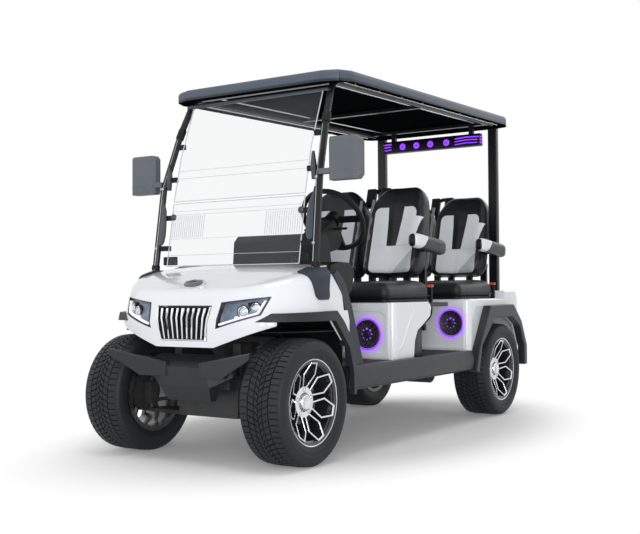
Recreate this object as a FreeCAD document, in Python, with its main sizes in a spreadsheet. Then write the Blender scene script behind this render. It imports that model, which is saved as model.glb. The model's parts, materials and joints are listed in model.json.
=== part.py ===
import FreeCAD, Part
import math
import os
import re

from FreeCAD import Placement, Rotation, Vector
import Sketcher

# Four-seat electric golf cart, millimetres. +Z is up, the front faces -Y, the driver's side is +X.
# The origin is on the ground, midway along the length.

SIZES = {
    # running gear
    "wheelbase": 2200,
    "rear_axle_y": 1050,
    "front_track": 951,
    "rear_track": 935,
    "tyre_radius": 290,
    "tyre_half": 117.5,
    "tread_half": 96,
    "shoulder_half": 112,
    "shoulder_radius": 272,
    "sidewall_radius": 240,
    "seat_radius": 178,
    "lip_radius": 198,
    "lip_half": 102,
    "bead_half": 94,
    "rim_wall": 8,
    "hub_face": 50,
    "hub_wall": 22,
    "hub_radius": 71,
    "hub_depth": 60,
    "cap_radius": 31,
    "spoke_thick": 14,
    "spindle_radius": 16,
    "running_gap": 0.05,
    "spokes": 7,
    "kingpin_x": 400,
    "kingpin_radius": 12,
    "brake_radius": 95,
    # chassis
    "rail_x": 180,
    "rail_wide": 50,
    "rail_high": 60,
    "floor_z": 420,
    "floor_thick": 20,
    "mat_thick": 8,
    "frame_front_y": -1289.7,
    "frame_rear_y": 1370,
    "tow_thick": 12,
    "tow_radius": 10,
    "floor_front_y": -790,
    "floor_rear_y": 640,
    "floor_half": 538,
    "sill_half": 585,
    "sill_bottom": 312,
    "sill_top": 432,
    # body shell
    "skin": 6,
    "arch_top": 655,
    "flare_half": 605,
    "flare_wide": 46,
    "seat_pitch": 905,
    "box_front_y": -300,
    "box_half": 530,
    "box_top": 730,
    "row_rise": 10,
    "body_half": 548,
    "body_rear_y": 1395,
    "deck_z": 790,
    "speaker_radius": 76,
    "speaker_z": 561,
    "front_speaker_x": 362,
    "rear_speaker_x": 424,
    # seats
    "cushion_front_y": -320,
    "cushion_deep": 520,
    "cushion_thick": 105,
    "cushion_in": 14,
    "cushion_wide": 484,
    "cushion_corner": 32,
    "back_y": 212,
    "back_z": 895,
    "back_high": 545,
    "back_thick": 140,
    "back_in": 4,
    "back_wide": 381,
    "back_top_thick": 90,
    "recline": 16,
    "arm_in": 462,
    "arm_wide": 66,
    "arm_long": 380,
    "arm_high": 84,
    "arm_pivot_y": 318,
    "arm_pivot_z": 1042,
    "arm_tilt": 5.5,
    "arm_corner": 22,
    # steering
    "wheel_x": 265,
    "wheel_y": -482,
    "wheel_z": 1166,
    "wheel_radius": 175,
    "wheel_grip": 14,
    "wheel_tilt": 35,
    # canopy
    "roof_half": 550,
    "roof_front_y": -850,
    "roof_long": 2180,
    "roof_corner": 120,
    "roof_thick": 62,
    "roof_front_z": 1812,
    "roof_pitch": 1.75,
    "post_radius": 17,
    "post_x": 440,
    "rear_post_x": 424,
    "rear_post_wide": 62,
    "rear_post_deep": 40,
    "rear_post_y": 1286,
    "glass_thick": 5,
    "glass_half": 412,
    "clearance": 0.3,
}

doc = FreeCAD.newDocument("golf_cart")
sheet = doc.addObject("Spreadsheet::Sheet", "Sizes")
for row, (alias, value) in enumerate(SIZES.items(), start=1):
    sheet.set(f"A{row}", alias)
    sheet.set(f"B{row}", str(value))
    sheet.setAlias(f"B{row}", alias)
doc.recompute()


class Read:
    """The sheet's values, for shapes that are worked out in code."""

    def __getattr__(self, alias):
        return float(sheet.get(alias))


z = Read()
PIECES = []


def bind(thing, prop, text):
    """Binds one property to an expression over the sheet's sizes."""
    words = re.sub(r"[a-z_]+", lambda m: "Sizes." + m.group() if m.group() in SIZES else m.group(),
                   str(text))
    thing.setExpression(prop, words)


def place(thing, x="0", y="0", height="0", axis=(0, 0, 1), angle=0):
    thing.Placement = Placement(Vector(), Rotation(Vector(*axis), angle))
    for prop, text in zip("xyz", (x, y, height)):
        bind(thing, "Placement.Base." + prop, text)
    return thing


def piece(label, thing):
    """Names a finished sub-part, which is written to a file of that name."""
    thing.Label = label
    PIECES.append(thing)
    return thing


# Solids from primitives

def box(name, long, wide, high, x, y, height):
    block = doc.addObject("Part::Box", name)
    for prop, text in (("Length", long), ("Width", wide), ("Height", high)):
        bind(block, prop, text)
    return place(block, x, y, height)


def rod(name, radius, long, x, y, height, along=(0, 0, 1)):
    shaft = doc.addObject("Part::Cylinder", name)
    bind(shaft, "Radius", radius)
    bind(shaft, "Height", long)
    turn = Rotation(Vector(0, 0, 1), Vector(*along))
    return place(shaft, x, y, height, tuple(turn.Axis), math.degrees(turn.Angle))


def bar(name, sides, radius, long, x, y, height, along=(0, 0, 1)):
    """A many-sided round bar, for drums and housings that nothing turns on."""
    shaft = doc.addObject("Part::Prism", name)
    shaft.Polygon = sides
    bind(shaft, "Circumradius", radius)
    bind(shaft, "Height", long)
    turn = Rotation(Vector(0, 0, 1), Vector(*along))
    return place(shaft, x, y, height, tuple(turn.Axis), math.degrees(turn.Angle))


def fuse(name, *parts):
    joined = doc.addObject("Part::MultiFuse", name)
    joined.Shapes = list(parts)
    joined.Refine = True
    return joined


def cut(name, base, *tools):
    for number, tool in enumerate(tools):
        pared = doc.addObject("Part::Cut", f"{name}_{number}")
        pared.Base = base
        pared.Tool = tool
        base = pared
    return base


def mirror(name, source):
    copy = doc.addObject("Part::Mirroring", name)
    copy.Source = source
    copy.Normal = Vector(1, 0, 0)
    return copy


def together(name, *parts):
    """Separate solids that share a node."""
    group = doc.addObject("Part::Compound", name)
    group.Links = list(parts)
    return group


def both(name, source):
    return together(name, source, mirror(name + "_right", source))


def solid(name, shape):
    """A shape that no primitive or sketched feature gives."""
    thing = doc.addObject("Part::Feature", name)
    thing.Shape = shape
    return thing


# Sketched bodies

def sketched(name):
    return doc.addObject("PartDesign::Body", name)


def outline(body, plane, corners, lift="0"):
    """A closed sketch on one of the body's own planes, each corner bound to the sheet."""
    sketch = body.newObject("Sketcher::SketchObject", body.Name + "_outline")
    origin = [o for o in body.Origin.OriginFeatures if o.Role == plane][0]
    sketch.AttachmentSupport = [(origin, "")]
    sketch.MapMode = "FlatFace"
    bind(sketch, "AttachmentOffset.Base.z", lift)
    draw(sketch, corners)
    return sketch


def draw(sketch, corners):
    probe = doc.addObject("App::FeaturePython", "Probe")
    probe.addProperty("App::PropertyFloat", "Value")
    spots = []
    for pair in corners:
        spot = []
        for text in pair:
            bind(probe, "Value", text)
            probe.recompute()
            spot.append(probe.Value)
        spots.append(Vector(*spot, 0))
    doc.removeObject(probe.Name)
    count = len(spots)
    first = sketch.GeometryCount
    for n in range(count):
        sketch.addGeometry(Part.LineSegment(spots[n], spots[(n + 1) % count]), False)
    for n in range(count):
        sketch.addConstraint(Sketcher.Constraint("Coincident", first + n, 2, first + (n + 1) % count, 1))
    for n, pair in enumerate(corners):
        for kind, text, value in zip(("DistanceX", "DistanceY"), pair, spots[n]):
            number = sketch.addConstraint(Sketcher.Constraint(kind, -1, 1, first + n, 1, value))
            bind(sketch, f"Constraints[{number}]", text)


def pad(body, sketch, long, midplane=False, flip=False):
    feature = body.newObject("PartDesign::Pad", body.Name + "_pad")
    feature.Profile = sketch
    bind(feature, "Length", long)
    feature.Midplane = midplane
    feature.Reversed = flip
    sketch.Visibility = False
    body.Tip = feature
    doc.recompute()
    return feature


def pocket(body, sketch, long, midplane=False, flip=False):
    before = body.Tip.Shape.Volume
    feature = body.newObject("PartDesign::Pocket", body.Name + "_pocket")
    feature.Profile = sketch
    bind(feature, "Length", long)
    feature.Midplane = midplane
    feature.Reversed = flip
    body.Tip = feature
    doc.recompute()
    if feature.Shape.Volume > before - 1:
        raise RuntimeError(f"{feature.Name} cuts nothing")
    return feature


def revolve(body, sketch, around):
    feature = body.newObject("PartDesign::Revolution", body.Name + "_turned")
    feature.Profile = sketch
    feature.ReferenceAxis = (sketch, [around])
    feature.Angle = 360
    body.Tip = feature
    doc.recompute()
    return feature


def spread(body, feature, count):
    """Repeats a feature evenly about the body's X axis."""
    before = feature.Shape.Volume
    pattern = body.newObject("PartDesign::PolarPattern", body.Name + "_pattern")
    pattern.Originals = [feature]
    pattern.Axis = ([o for o in body.Origin.OriginFeatures if o.Role == "X_Axis"][0], [""])
    bind(pattern, "Occurrences", count)
    pattern.Angle = 360
    body.Tip = pattern
    doc.recompute()
    if pattern.Shape.Volume > before - 1:
        raise RuntimeError(f"{pattern.Name} repeats nothing")
    return pattern


def fillet(body, radius, wanted):
    """Rounds the edges that wanted(edge) picks."""
    base = body.Tip
    names = [f"Edge{n}" for n, e in enumerate(base.Shape.Edges, start=1) if wanted(e)]
    feature = body.newObject("PartDesign::Fillet", body.Name + "_round")
    feature.Base = (base, names)
    bind(feature, "Radius", radius)
    body.Tip = feature
    doc.recompute()
    return feature


def lies(edge, **spots):
    """Whether the whole edge lies at the given coordinates."""
    points = [v.Point for v in edge.Vertexes]
    return all(abs(getattr(p, axis) - value) < 0.5 for p in points for axis, value in spots.items())


def upright(edge):
    a, b = edge.Vertexes[0].Point, edge.Vertexes[-1].Point
    return abs(a.x - b.x) < 0.01 and abs(a.y - b.y) < 0.01


def bent_tube(points, radius, bend, sides=8):
    """A tube along straight runs, its bends taken in three mitred steps."""
    spots = [points[0]]
    for before, corner, after in zip(points, points[1:], points[2:]):
        into = (corner - before).normalize()
        out = (after - corner).normalize()
        turn = into.getAngle(out)
        if turn < 0.3:
            spots.append(corner)
            continue
        reach = bend * math.tan(turn / 2)
        middle = corner + (out - into).normalize() * (bend / math.cos(turn / 2) - bend)
        spots += [corner - into * reach, middle, corner + out * reach]
    spots.append(points[-1])
    turned = Rotation(Vector(0, 0, 1), (spots[1] - spots[0]).normalize())
    ring = []
    reach = radius / math.cos(math.pi / sides)
    for n in range(sides + 1):
        angle = math.radians(360 * (n + 0.5) / sides)
        ring.append(spots[0] + turned.multVec(Vector(reach * math.cos(angle), reach * math.sin(angle), 0)))
    # transition 1 mitres the corners
    return Part.makePolygon(spots).makePipeShell([Part.makePolygon(ring)], True, False, 1)


def faceted_ring(profile, parts):
    """A closed (x, radius) outline carried round the X axis in equal flat steps."""
    step = 2 * math.pi / parts
    rings = [[Vector(x, r * math.cos(n * step), r * math.sin(n * step)) for x,
              r in profile] for n in range(parts)]
    faces = []
    for here, there in zip(rings, rings[1:] + rings[:1]):
        corners = list(zip(here, there))
        for (a, b), (c, d) in zip(corners, corners[1:] + corners[:1]):
            faces.append(Part.Face(Part.makePolygon([a, c, d, b, a])))
    shell = Part.makeShell(faces)
    shell.sewShape()
    if Part.makeSolid(shell).Volume < 0:
        shell.reverse()
    return Part.makeSolid(shell)


def prism(corners, axis, low, high):
    """A straight prism over corners given in the plane across the axis."""
    at = {"x": lambda a, b: Vector(low, a, b), "y": lambda a, b: Vector(a, low, b), "z": lambda a,
          b: Vector(a, b, low)}
    way = {"x": Vector(high - low, 0, 0), "y": Vector(0, high - low, 0), "z": Vector(0, 0, high - low)}
    face = Part.Face(Part.makePolygon([at[axis](a, b) for a, b in corners + corners[:1]]))
    return face.extrude(way[axis])


def disc(radius, sides, a=0, b=0):
    """Corners of a many-sided disc about a point."""
    return [(a + radius * math.cos(2 * math.pi * n / sides), b + radius * math.sin(2 * math.pi * n / sides))
            for n in range(sides)]


def flip_x(shape):
    return shape.mirror(Vector(), Vector(1, 0, 0))


# Wheels

FRONT_Y = "(rear_axle_y - wheelbase)"
WHEELS = {
    "front_left": ("front_track / 2", FRONT_Y, 0),
    "front_right": ("-front_track / 2", FRONT_Y, 180),
    "rear_left": ("rear_track / 2", "rear_axle_y", 0),
    "rear_right": ("-rear_track / 2", "rear_axle_y", 180),
}


WHEEL_STEPS = 56
# a spoke's outline and its window as distance from the axle and half-width
FORK = [(60, 20), (90, 33), (124, 50), (160, 40), (184, 24)]
FORK_WINDOW = [(88, 13), (122, 38), (158, 28), (174, 14)]
FORK_START = -17


def make_tyre(place_name):
    """Bead, bulging sidewall, rounded shoulder and flat tread, carried round in WHEEL_STEPS."""
    side = [(z.bead_half, z.seat_radius), (z.lip_half, z.lip_radius), (z.tyre_half, z.sidewall_radius),
            (z.shoulder_half, z.shoulder_radius), (z.tread_half, z.tyre_radius)]
    return solid("tyre_" + place_name, faceted_ring(side + [(-x, r) for x, r in side[::-1]], WHEEL_STEPS))


def make_rim(place_name):
    """Alloy wheel: a dished centre of seven forked spokes, each a loop leaning out from hub to lip."""
    inside = z.seat_radius - z.rim_wall
    barrel = faceted_ring([
        (z.lip_half, z.lip_radius), (z.bead_half, z.seat_radius), (-z.bead_half - z.rim_wall, z.seat_radius),
        (-z.bead_half - z.rim_wall, inside), (z.bead_half - z.rim_wall, inside),
        (z.lip_half - 2, z.lip_radius - 6),
    ], WHEEL_STEPS)
    back = z.hub_face - z.hub_depth
    hub = prism(disc(z.hub_radius, 28), "x", back, z.hub_face)
    hub = hub.fuse(prism(disc(z.cap_radius, 14), "x", z.hub_face - 1, z.hub_face + 16))
    thick = z.spoke_thick
    loop = prism(FORK + [(r, -w) for r, w in FORK[::-1]], "x", 0, z.lip_half)
    window = prism(FORK_WINDOW + [(r, -w) for r, w in FORK_WINDOW[::-1]], "x", 0, z.lip_half + 1)
    lean = prism([(z.hub_face - thick, 50), (z.hub_face, 50), (z.hub_face, z.hub_radius),
                  (z.lip_half - 2, 184),
                  (z.lip_half - 2 - thick, 184), (z.hub_face - thick, z.hub_radius)], "z", -60, 60)
    spoke = loop.common(lean).cut(window)
    spokes = []
    for n in range(int(z.spokes)):
        turned = spoke.copy()
        turned.rotate(Vector(), Vector(1, 0, 0), FORK_START + 360 * n / z.spokes)
        spokes.append(turned)
    bore = Part.makeCylinder(z.spindle_radius + z.running_gap, z.hub_depth - z.hub_wall, Vector(back, 0, 0),
                             Vector(1, 0, 0))
    return solid("rim_" + place_name, barrel.fuse([hub] + spokes).cut(bore))


for name, (x, y, angle) in WHEELS.items():
    for make in (make_tyre, make_rim):
        made = make(name)
        piece(made.Name, place(made, x, y, "tyre_radius", angle=angle))


# Axles and knuckles

def make_knuckle(side):
    """Kingpin, upright, brake drum and the stub axle that the front wheel turns on."""
    pin = rod("kingpin_" + side, "kingpin_radius", "190", "kingpin_x", FRONT_Y, "tyre_radius - 95")
    upright_block = box("upright_" + side, "34", "60", "110", "kingpin_x - 17", FRONT_Y + " - 30",
                        "tyre_radius - 55")
    drum = bar("drum_" + side, 20, "brake_radius", "24", "kingpin_x + 30", FRONT_Y, "tyre_radius", (1, 0, 0))
    stub = rod("stub_" + side, "spindle_radius", "front_track / 2 + hub_face - hub_wall - 4 - kingpin_x",
               "kingpin_x", FRONT_Y, "tyre_radius", (1, 0, 0))
    arm = box("steer_arm_" + side, "24", "120", "16", "kingpin_x - 14", FRONT_Y, "tyre_radius - 50")
    joined = fuse("knuckle_made_" + side, pin, upright_block, drum, stub, arm)
    return joined if side == "left" else mirror("knuckle_flip_" + side, joined)


for side in ("left", "right"):
    piece("knuckle_" + side, make_knuckle(side))


def make_front_suspension():
    """Lower and upper arms with the kingpin's bores, on a beam between the rails."""
    y = z.rear_axle_y - z.wheelbase
    low = z.tyre_radius - 95
    rail_side = z.rail_x + z.rail_wide / 2
    arms = []
    for height, start, rear in ((low, z.rail_x, 95), (z.tyre_radius + 75, rail_side, 35)):
        blade = prism([(start, y - 35), (z.kingpin_x - 60, y - 35), (z.kingpin_x, y - 18),
                       (z.kingpin_x, y + 18),
                       (z.kingpin_x - 50, y + rear), (start, y + rear)], "z", height, height + 20)
        eye = prism(disc(20, 10, z.kingpin_x, y), "z", height, height + 20)
        bore = Part.makeCylinder(z.kingpin_radius + z.running_gap, 20, Vector(z.kingpin_x, y, height))
        arms.append(blade.fuse(eye).cut(bore))
    rail_low = z.floor_z - z.floor_thick - z.rail_high
    beam = Part.makeBox(2 * z.rail_x, 90, rail_low - low, Vector(-z.rail_x, y - 45, low))
    lower = beam.fuse([arms[0], flip_x(arms[0])]).removeSplitter()
    return Part.makeCompound([lower, arms[1], flip_x(arms[1])])


piece("front_suspension", solid("suspension_made", make_front_suspension()))


def make_rear_axle():
    """Axle tube with stub ends, stepped differential housing and the motor beside it."""
    end = "rear_track / 2 + hub_face - hub_wall - 4"
    across = (1, 0, 0)
    shaft = rod("axle_shaft", "spindle_radius", f"2 * ({end})", f"-({end})", "rear_axle_y", "tyre_radius",
                across)
    tube = bar("axle_tube", 12, "36", "2 * 370", "-370", "rear_axle_y", "tyre_radius", across)
    drums = bar("axle_drum", 20, "brake_radius", "26", "370", "rear_axle_y", "tyre_radius", across)
    housing = bar("differential", 16, "86", "90", "-45", "rear_axle_y", "tyre_radius", across)
    neck = bar("housing_neck", 12, "58", "190", "-95", "rear_axle_y", "tyre_radius", across)
    motor = bar("motor", 16, "74", "165", "-20", "rear_axle_y - 165", "tyre_radius - 20", across)
    case = box("gear_case", "60", "170", "110", "-30", "rear_axle_y - 170", "tyre_radius - 70")
    return fuse("axle_made", shaft, tube, drums, mirror("axle_drum_right", drums), housing, neck, motor,
                case)


piece("rear_axle", make_rear_axle())


def make_springs():
    """Slanted dampers in front, leaf springs over the rear axle."""
    y = z.rear_axle_y - z.wheelbase
    low, high = Vector(322, y + 66, z.tyre_radius - 67), Vector(227.3, y + 66, 530)
    damper = prism(disc(26, 12), "z", 0, (high - low).Length)
    damper.Placement = Placement(low, Rotation(Vector(0, 0, 1), high - low))
    rail_low = z.floor_z - z.floor_thick - z.rail_high
    leaf = prism([(z.rear_axle_y - 300, rail_low), (z.rear_axle_y, z.tyre_radius + 36),
                  (z.rear_axle_y + 300, rail_low), (z.rear_axle_y, z.tyre_radius + 46)], "x", 165, 205)
    return Part.makeCompound([damper, flip_x(damper), leaf, flip_x(leaf)])


piece("dampers", solid("springs_made", make_springs()))


# Chassis

RAIL_LOW = "(floor_z - floor_thick - rail_high)"


def make_frame():
    rail = box("rail", "rail_wide", "frame_rear_y - frame_front_y", "rail_high",
               "rail_x - rail_wide / 2", "frame_front_y", RAIL_LOW)
    parts = [rail, mirror("rail_right", rail)]
    for number, y in enumerate(("frame_front_y", "floor_front_y", "60", "rear_axle_y - 330",
                                "frame_rear_y - 50")):
        parts.append(box(f"cross_{number}", "2 * rail_x", "50", "rail_high", "-rail_x", y, RAIL_LOW))
    for number, y in enumerate(("floor_front_y", "60", "floor_rear_y - 60")):
        parts.append(box(f"outrigger_{number}", "2 * floor_half", "40", "30",
                         "-floor_half", y, RAIL_LOW + " + rail_high - 30"))
    tower = box("tower", "44", "150", "150", "rail_x - 22", FRONT_Y + " - 50", RAIL_LOW + " + rail_high")
    plate = box("tow_plate", "70", "65", "tow_thick", "-35", "frame_rear_y - 10",
                RAIL_LOW + " + 25 - tow_thick / 2")
    parts += [tower, mirror("tower_right", tower), plate]
    hole = rod("tow_hole", "tow_radius", "40", "0", "frame_rear_y + 28", RAIL_LOW + " + 5")
    return cut("frame_drilled", fuse("frame_made", *parts), hole)


piece("chassis_frame", make_frame())


def make_floor():
    """Flat floor with a toe board that rises between the front wheels."""
    body = sketched("floor_pan")
    low = "floor_z - floor_thick"
    pad(body, outline(body, "XY_Plane", [
        ("-floor_half", "floor_front_y"), ("floor_half", "floor_front_y"),
        ("floor_half", "floor_rear_y"), ("-floor_half", "floor_rear_y"),
    ], low), "floor_thick")
    pad(body, outline(body, "YZ_Plane", [
        ("floor_front_y", low), ("floor_front_y", "floor_z"),
        ("floor_front_y - 160", "floor_z + 150"), ("floor_front_y - 160", "floor_z + 130"),
        ("floor_front_y - 18", low),
    ]), "440", midplane=True)
    return body


piece("floor_pan", make_floor())


def make_mats():
    front = box("mat_front", "2 * floor_half - 30", "box_front_y - floor_front_y - 10.3", "mat_thick",
                "-floor_half + 15", "floor_front_y + 10", "floor_z")
    rear = box("mat_rear", "2 * floor_half - 30", "box_front_y + seat_pitch - 110", "mat_thick",
               "-floor_half + 15", "100", "floor_z")
    return together("mats_made", front, rear)


piece("floor_mats", make_mats())


def make_sill():
    body = sketched("sill_left")
    pad(body, outline(body, "XZ_Plane", [
        ("floor_half + clearance", "sill_top"), ("floor_half + clearance", "sill_bottom + 8"),
        ("floor_half + 22", "sill_bottom"), ("sill_half - 6", "sill_bottom + 12"),
        ("sill_half", "sill_bottom + 70"), ("sill_half - 14", "sill_top"),
    ], "-(floor_rear_y - 50)"), "floor_rear_y - 50 - floor_front_y - 8")
    return body


piece("sills", both("sills_made", make_sill()))


def make_battery():
    return box("battery", "900", "330", "240", "-450", "-270", "floor_z")


piece("battery_block", make_battery())


# Front body

COWL_REAR_Y = -830
DASH_FRONT_Y = -880


def nose_outline(height, half, front_y, rear_y, power=3.2, steps=8, smooth=True):
    """The cowl's plan at one height: half a superellipse, with straight sides behind it."""
    points = []
    for n in range(-steps, steps + 1):
        angle = math.radians(90) * n / steps
        s, c = math.sin(angle), math.cos(angle)
        x = math.copysign(half * abs(s) ** (2 / power), s)
        points.append(Vector(x, COWL_REAR_Y + (front_y - COWL_REAR_Y) * abs(c) ** (2 / power), height))
    ends = [points[-1], Vector(half, rear_y, height), Vector(-half, rear_y, height), points[0]]
    if not smooth:
        return Part.makePolygon(points + ends[1:])
    curve = Part.BSplineCurve()
    curve.interpolate(points)
    return Part.Wire([curve.toShape()] + [Part.LineSegment(a, b).toShape() for a, b in zip(ends, ends[1:])])


def cowl_block(inset, past=0, brow=62):
    """The filled form of the cowl with each face moved in by inset, run on behind and below."""
    foot, rear = 280 - past, COWL_REAR_Y + 25 + past
    levels = [(foot, 572, -1368), (530, 572, -1368), (650, 580, -1387), (960, 540, -1300)]
    outlines = [nose_outline(h, half - inset, front + inset, rear) for h, half, front in levels]
    walls = Part.makeLoft(outlines, True, True)
    crown = []
    for x, drop in ((-680, 31), (0, 0), (680, 31)):
        top = [(-1450, 733), (-1283, 828), (-1100, 893), (-918, 928), (-780, 936)]
        line = Part.BSplineCurve()
        line.interpolate([Vector(x, y, height - drop - inset) for y, height in top])
        ends = [line.EndPoint, Vector(x, -780, 250), Vector(x, -1450, 250), line.StartPoint]
        crown.append(Part.Wire([line.toShape()] + [Part.LineSegment(a, b).toShape() for a,
                                                   b in zip(ends, ends[1:])]))
    block = walls.common(Part.makeLoft(crown, True))
    if not brow:
        return block
    edges = [e for e in block.Edges
             if e.BoundBox.ZMin > 690 and e.BoundBox.XLength > 200 and e.BoundBox.YLength > 50]
    return block.makeFillet(brow - inset, edges)


def cowl_layer(outer, inner, brow=62):
    """What lies between two offsets of the cowl's surface."""
    return cowl_block(outer, brow=brow).cut(cowl_block(inner, 5, brow))


LAMP = [(198, 625), (216, 742), (430, 767), (402, 686)]
GRILLE = [(-156, 722), (156, 722), (132, 571), (-132, 571)]


def grown(corners, by):
    """A convex outline moved outwards by a distance."""
    middle = Vector(sum(a for a, b in corners) / len(corners), sum(b for a, b in corners) / len(corners), 0)
    grown_corners = []
    for a, b in corners:
        away = Vector(a, b, 0) - middle
        away = away * ((away.Length + by * 1.3) / away.Length)
        grown_corners.append((middle.x + away.x, middle.y + away.y))
    return grown_corners


def nose_prism(corners):
    return prism(corners, "y", -1500, -1100)


def arch_outline(y):
    """Opening over a front wheel, seen from the side, about the axle at y."""
    top = z.arch_top
    return [(y - 128, 300), (y - 128, top), (y + 150, top), (y + 283, 525), (y + 322, 400), (y + 322, 300)]


REAR_EDGE = [(-1010, 900), (-948, 872), (-890, 790), (-845, 700), (-829, 530)]


def cowl_hollow(gap=0):
    """The room under the cowl: straight facets inside its curved skin, kept clear of the rounded brow."""
    inset = z.skin + gap
    levels = [(270, 572, -1368), (530, 572, -1368), (650, 580, -1387), (960, 540, -1300)]
    outlines = [nose_outline(h, half - inset, front + inset, COWL_REAR_Y + 30, smooth=False)
                for h, half, front in levels]
    under = [(-1450, 715), (-1283, 814), (-1100, 882), (-918, 917), (-780, 925)]
    roof = prism(under + [(-780, 250), (-1450, 250)], "x", -700, 700)
    ends = [(-566, 250), (-566, 700), (-490, 785), (-230, 815), (230, 815), (490, 785), (566, 700),
            (566, 250)]
    face = Part.Face(Part.makePolygon([Vector(x, -1500, height - 60) for x, height in ends + ends[:1]]))
    return Part.makeLoft(outlines, True, True).common(roof).common(face.extrude(Vector(0, 760, 760 * 0.274)))


def make_cowl():
    shell = cowl_block(0).cut(cowl_hollow())
    behind = Part.makeBox(1400, 100, 800, Vector(-700, COWL_REAR_Y, 250))
    below = Part.makeBox(1400, 900, 280, Vector(-700, -1500, 250))
    arch = prism(arch_outline(z.rear_axle_y - z.wheelbase), "x", 240, 700)
    chin = prism([(172, 500), (172, 536), (520, 655), (700, 655), (700, 500)], "y", -1500, -1200)
    foot = prism([(-1150, 500), (-1150, 560), (-845, 560), (-829, 528), (-829, 500)], "x", 300, 700)
    back = prism(REAR_EDGE + [(-700, 530), (-700, 1000), (-1010, 1000)], "x", 478, 700)
    tools = [nose_prism(grown(LAMP, 2)), arch, chin, foot, back]
    flat = prism([(-172, 500), (-172, 536), (172, 536), (172, 500)], "y", -1500, -1200)
    rear = Part.makeBox(1200, 100, 400, Vector(-600, DASH_FRONT_Y - z.clearance, 700))
    tools += [flip_x(t) for t in tools] + [nose_prism(grown(GRILLE, 8)), flat, rear, behind, below]
    return shell.cut(tools)


piece("front_cowl", solid("cowl_made", make_cowl()))


def make_lamps():
    """Lamp units flush in the cowl's openings."""
    block = cowl_layer(0.5, 45)
    lamp = block.common(nose_prism(grown(LAMP, 1.5)))
    return Part.makeCompound([lamp, flip_x(lamp)])


piece("headlamps", solid("lamps_made", make_lamps()))


def make_grille():
    """A frame with nine upright bars, wider at the top, before a dark back plate."""
    block = cowl_layer(-4, 30)
    frame = block.common(nose_prism(grown(GRILLE, 7.5)))
    well = cowl_layer(-8, 22)
    bars = 9
    slots = []
    for n in range(bars + 1):
        low, high = (2 * n / (bars + 1) - 1), (2 * (n + 1) / (bars + 1) - 1)
        a = 0.5 * 0.42 / bars
        slots.append(nose_prism([(156 * low + 150 * a, 722), (156 * high - 150 * a, 722),
                                 (132 * high - 110 * a, 571), (132 * low + 110 * a, 571)]))
    return frame.cut([well.common(s) for s in slots])


piece("grille", solid("grille_made", make_grille()))


def make_liners():
    """Dark inner panels over and behind the front wheels, joined by the bulkhead under the cowl."""
    y = z.rear_axle_y - z.wheelbase
    side = 515.7
    top = prism([(236, y - 110), (600, y - 110), (600, -850), (side, -850), (side, -808), (236, -808)], "z",
                604, 610)
    top = top.common(cowl_hollow(z.clearance))
    low = z.floor_z + z.mat_thick + 1
    wall = prism([(-808, 699.7), (-808, low), (-802, low), (-802, 699.7)], "x", -side, side)
    foot = prism([(-820, 400), (-790, 400), (-790, 600), (-820, 600)], "x", -225, 225)
    return wall.fuse([top, flip_x(top)]).cut(foot)


piece("wheel_liners", solid("liners_made", make_liners()))


WING_RIDGE = 8


def make_bumper():
    """Faceted bumper: a centre block where side, plan and front outlines meet, and a wing to each tip."""
    side = prism([(-1290, 285), (-1330, 285), (-1371, 363), (-1378, 443), (-1345, 470), (-1300, 500),
                  (-1290, 500)],
                 "x", -250, 250)
    plan = prism([(-246, -1290), (-246, -1318), (-130, -1380), (130, -1380), (246, -1318), (246, -1290)],
                 "z", 250, 550)
    front = prism([(-128, 285), (-150, 352), (-246, 400), (-246, 470), (-200, 500), (200, 500), (246, 470),
                   (246, 400),
                   (150, 352), (128, 285)], "y", -1400, -1280)
    rise = prism([(100, 400), (100, 466), (425, 524), (425, 494), (288, 424), (246, 400)], "y", -1440, -1300)
    sweep = prism([(100, -1381), (131, -1383), (425, -1432), (425, -1412), (264, -1394), (246, -1354),
                   (100, -1330)],
                  "z", 390, 550)
    wing = rise.common(sweep)
    ridge = [e for e in wing.Edges
             if e.BoundBox.ZMin > 460 and e.BoundBox.YMax < -1380.5 and e.BoundBox.XLength > 200]
    wing = wing.makeChamfer(WING_RIDGE, ridge)
    return side.common(plan).common(front).fuse([wing, flip_x(wing)]).removeSplitter()


piece("front_bumper", solid("bumper_made", make_bumper()))


def make_front_flare():
    """Band round the front arch, standing proud of the cowl."""
    y = z.rear_axle_y - z.wheelbase
    inner = arch_outline(y)[1:]
    outer = [(y + 366, 300), (y + 366, 400), (y + 321, 545), (y + 176, z.arch_top + z.flare_wide),
             (y - 138, z.arch_top + z.flare_wide - 8), (y - 185, z.arch_top)]
    band = cowl_layer(-26, -z.clearance, 0).common(prism(inner + outer, "x", 300, 700))
    return Part.makeCompound([band, flip_x(band)])


piece("front_flares", solid("front_flares_made", make_front_flare()))


SOCKET_THICK = 12


def make_trims():
    """Dark side panels behind the front fenders, and the windscreen posts' sockets."""
    front = [(y + 2, height) for y, height in REAR_EDGE[1:]]
    trim = prism(front + [(-781, 525), (-781, z.sill_top + z.clearance), (-676, z.sill_top + z.clearance),
                          (-782, 714), (-850, 842), (-915, 890)], "x", 516, 560)
    socket = prism([(-1125, 905), (-1118, 878), (-1104, 858), (-1092, 813), (-1085, 767), (-1070, 752),
                    (-1013, 752),
                    (-1000, 767), (-997, 800), (-985, 842), (-968, 880), (-968, 905)],
                   "x", 470, 700).common(cowl_layer(-SOCKET_THICK, -z.clearance))
    return Part.makeCompound([trim, flip_x(trim), socket, flip_x(socket)])


piece("cowl_trims", solid("trims_made", make_trims()))


DASH = [(DASH_FRONT_Y, 720), (DASH_FRONT_Y, 915), (-800, 935), (-700, 932), (-655, 890), (-680, 800),
        (-780, 700)]


# the raised cluster before the driver, at whose back the column starts
BINNACLE = [(-850, 900), (-838, 1046), (-805, 1078), (-718, 1070), (-690, 1000), (-675, 900)]


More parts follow.
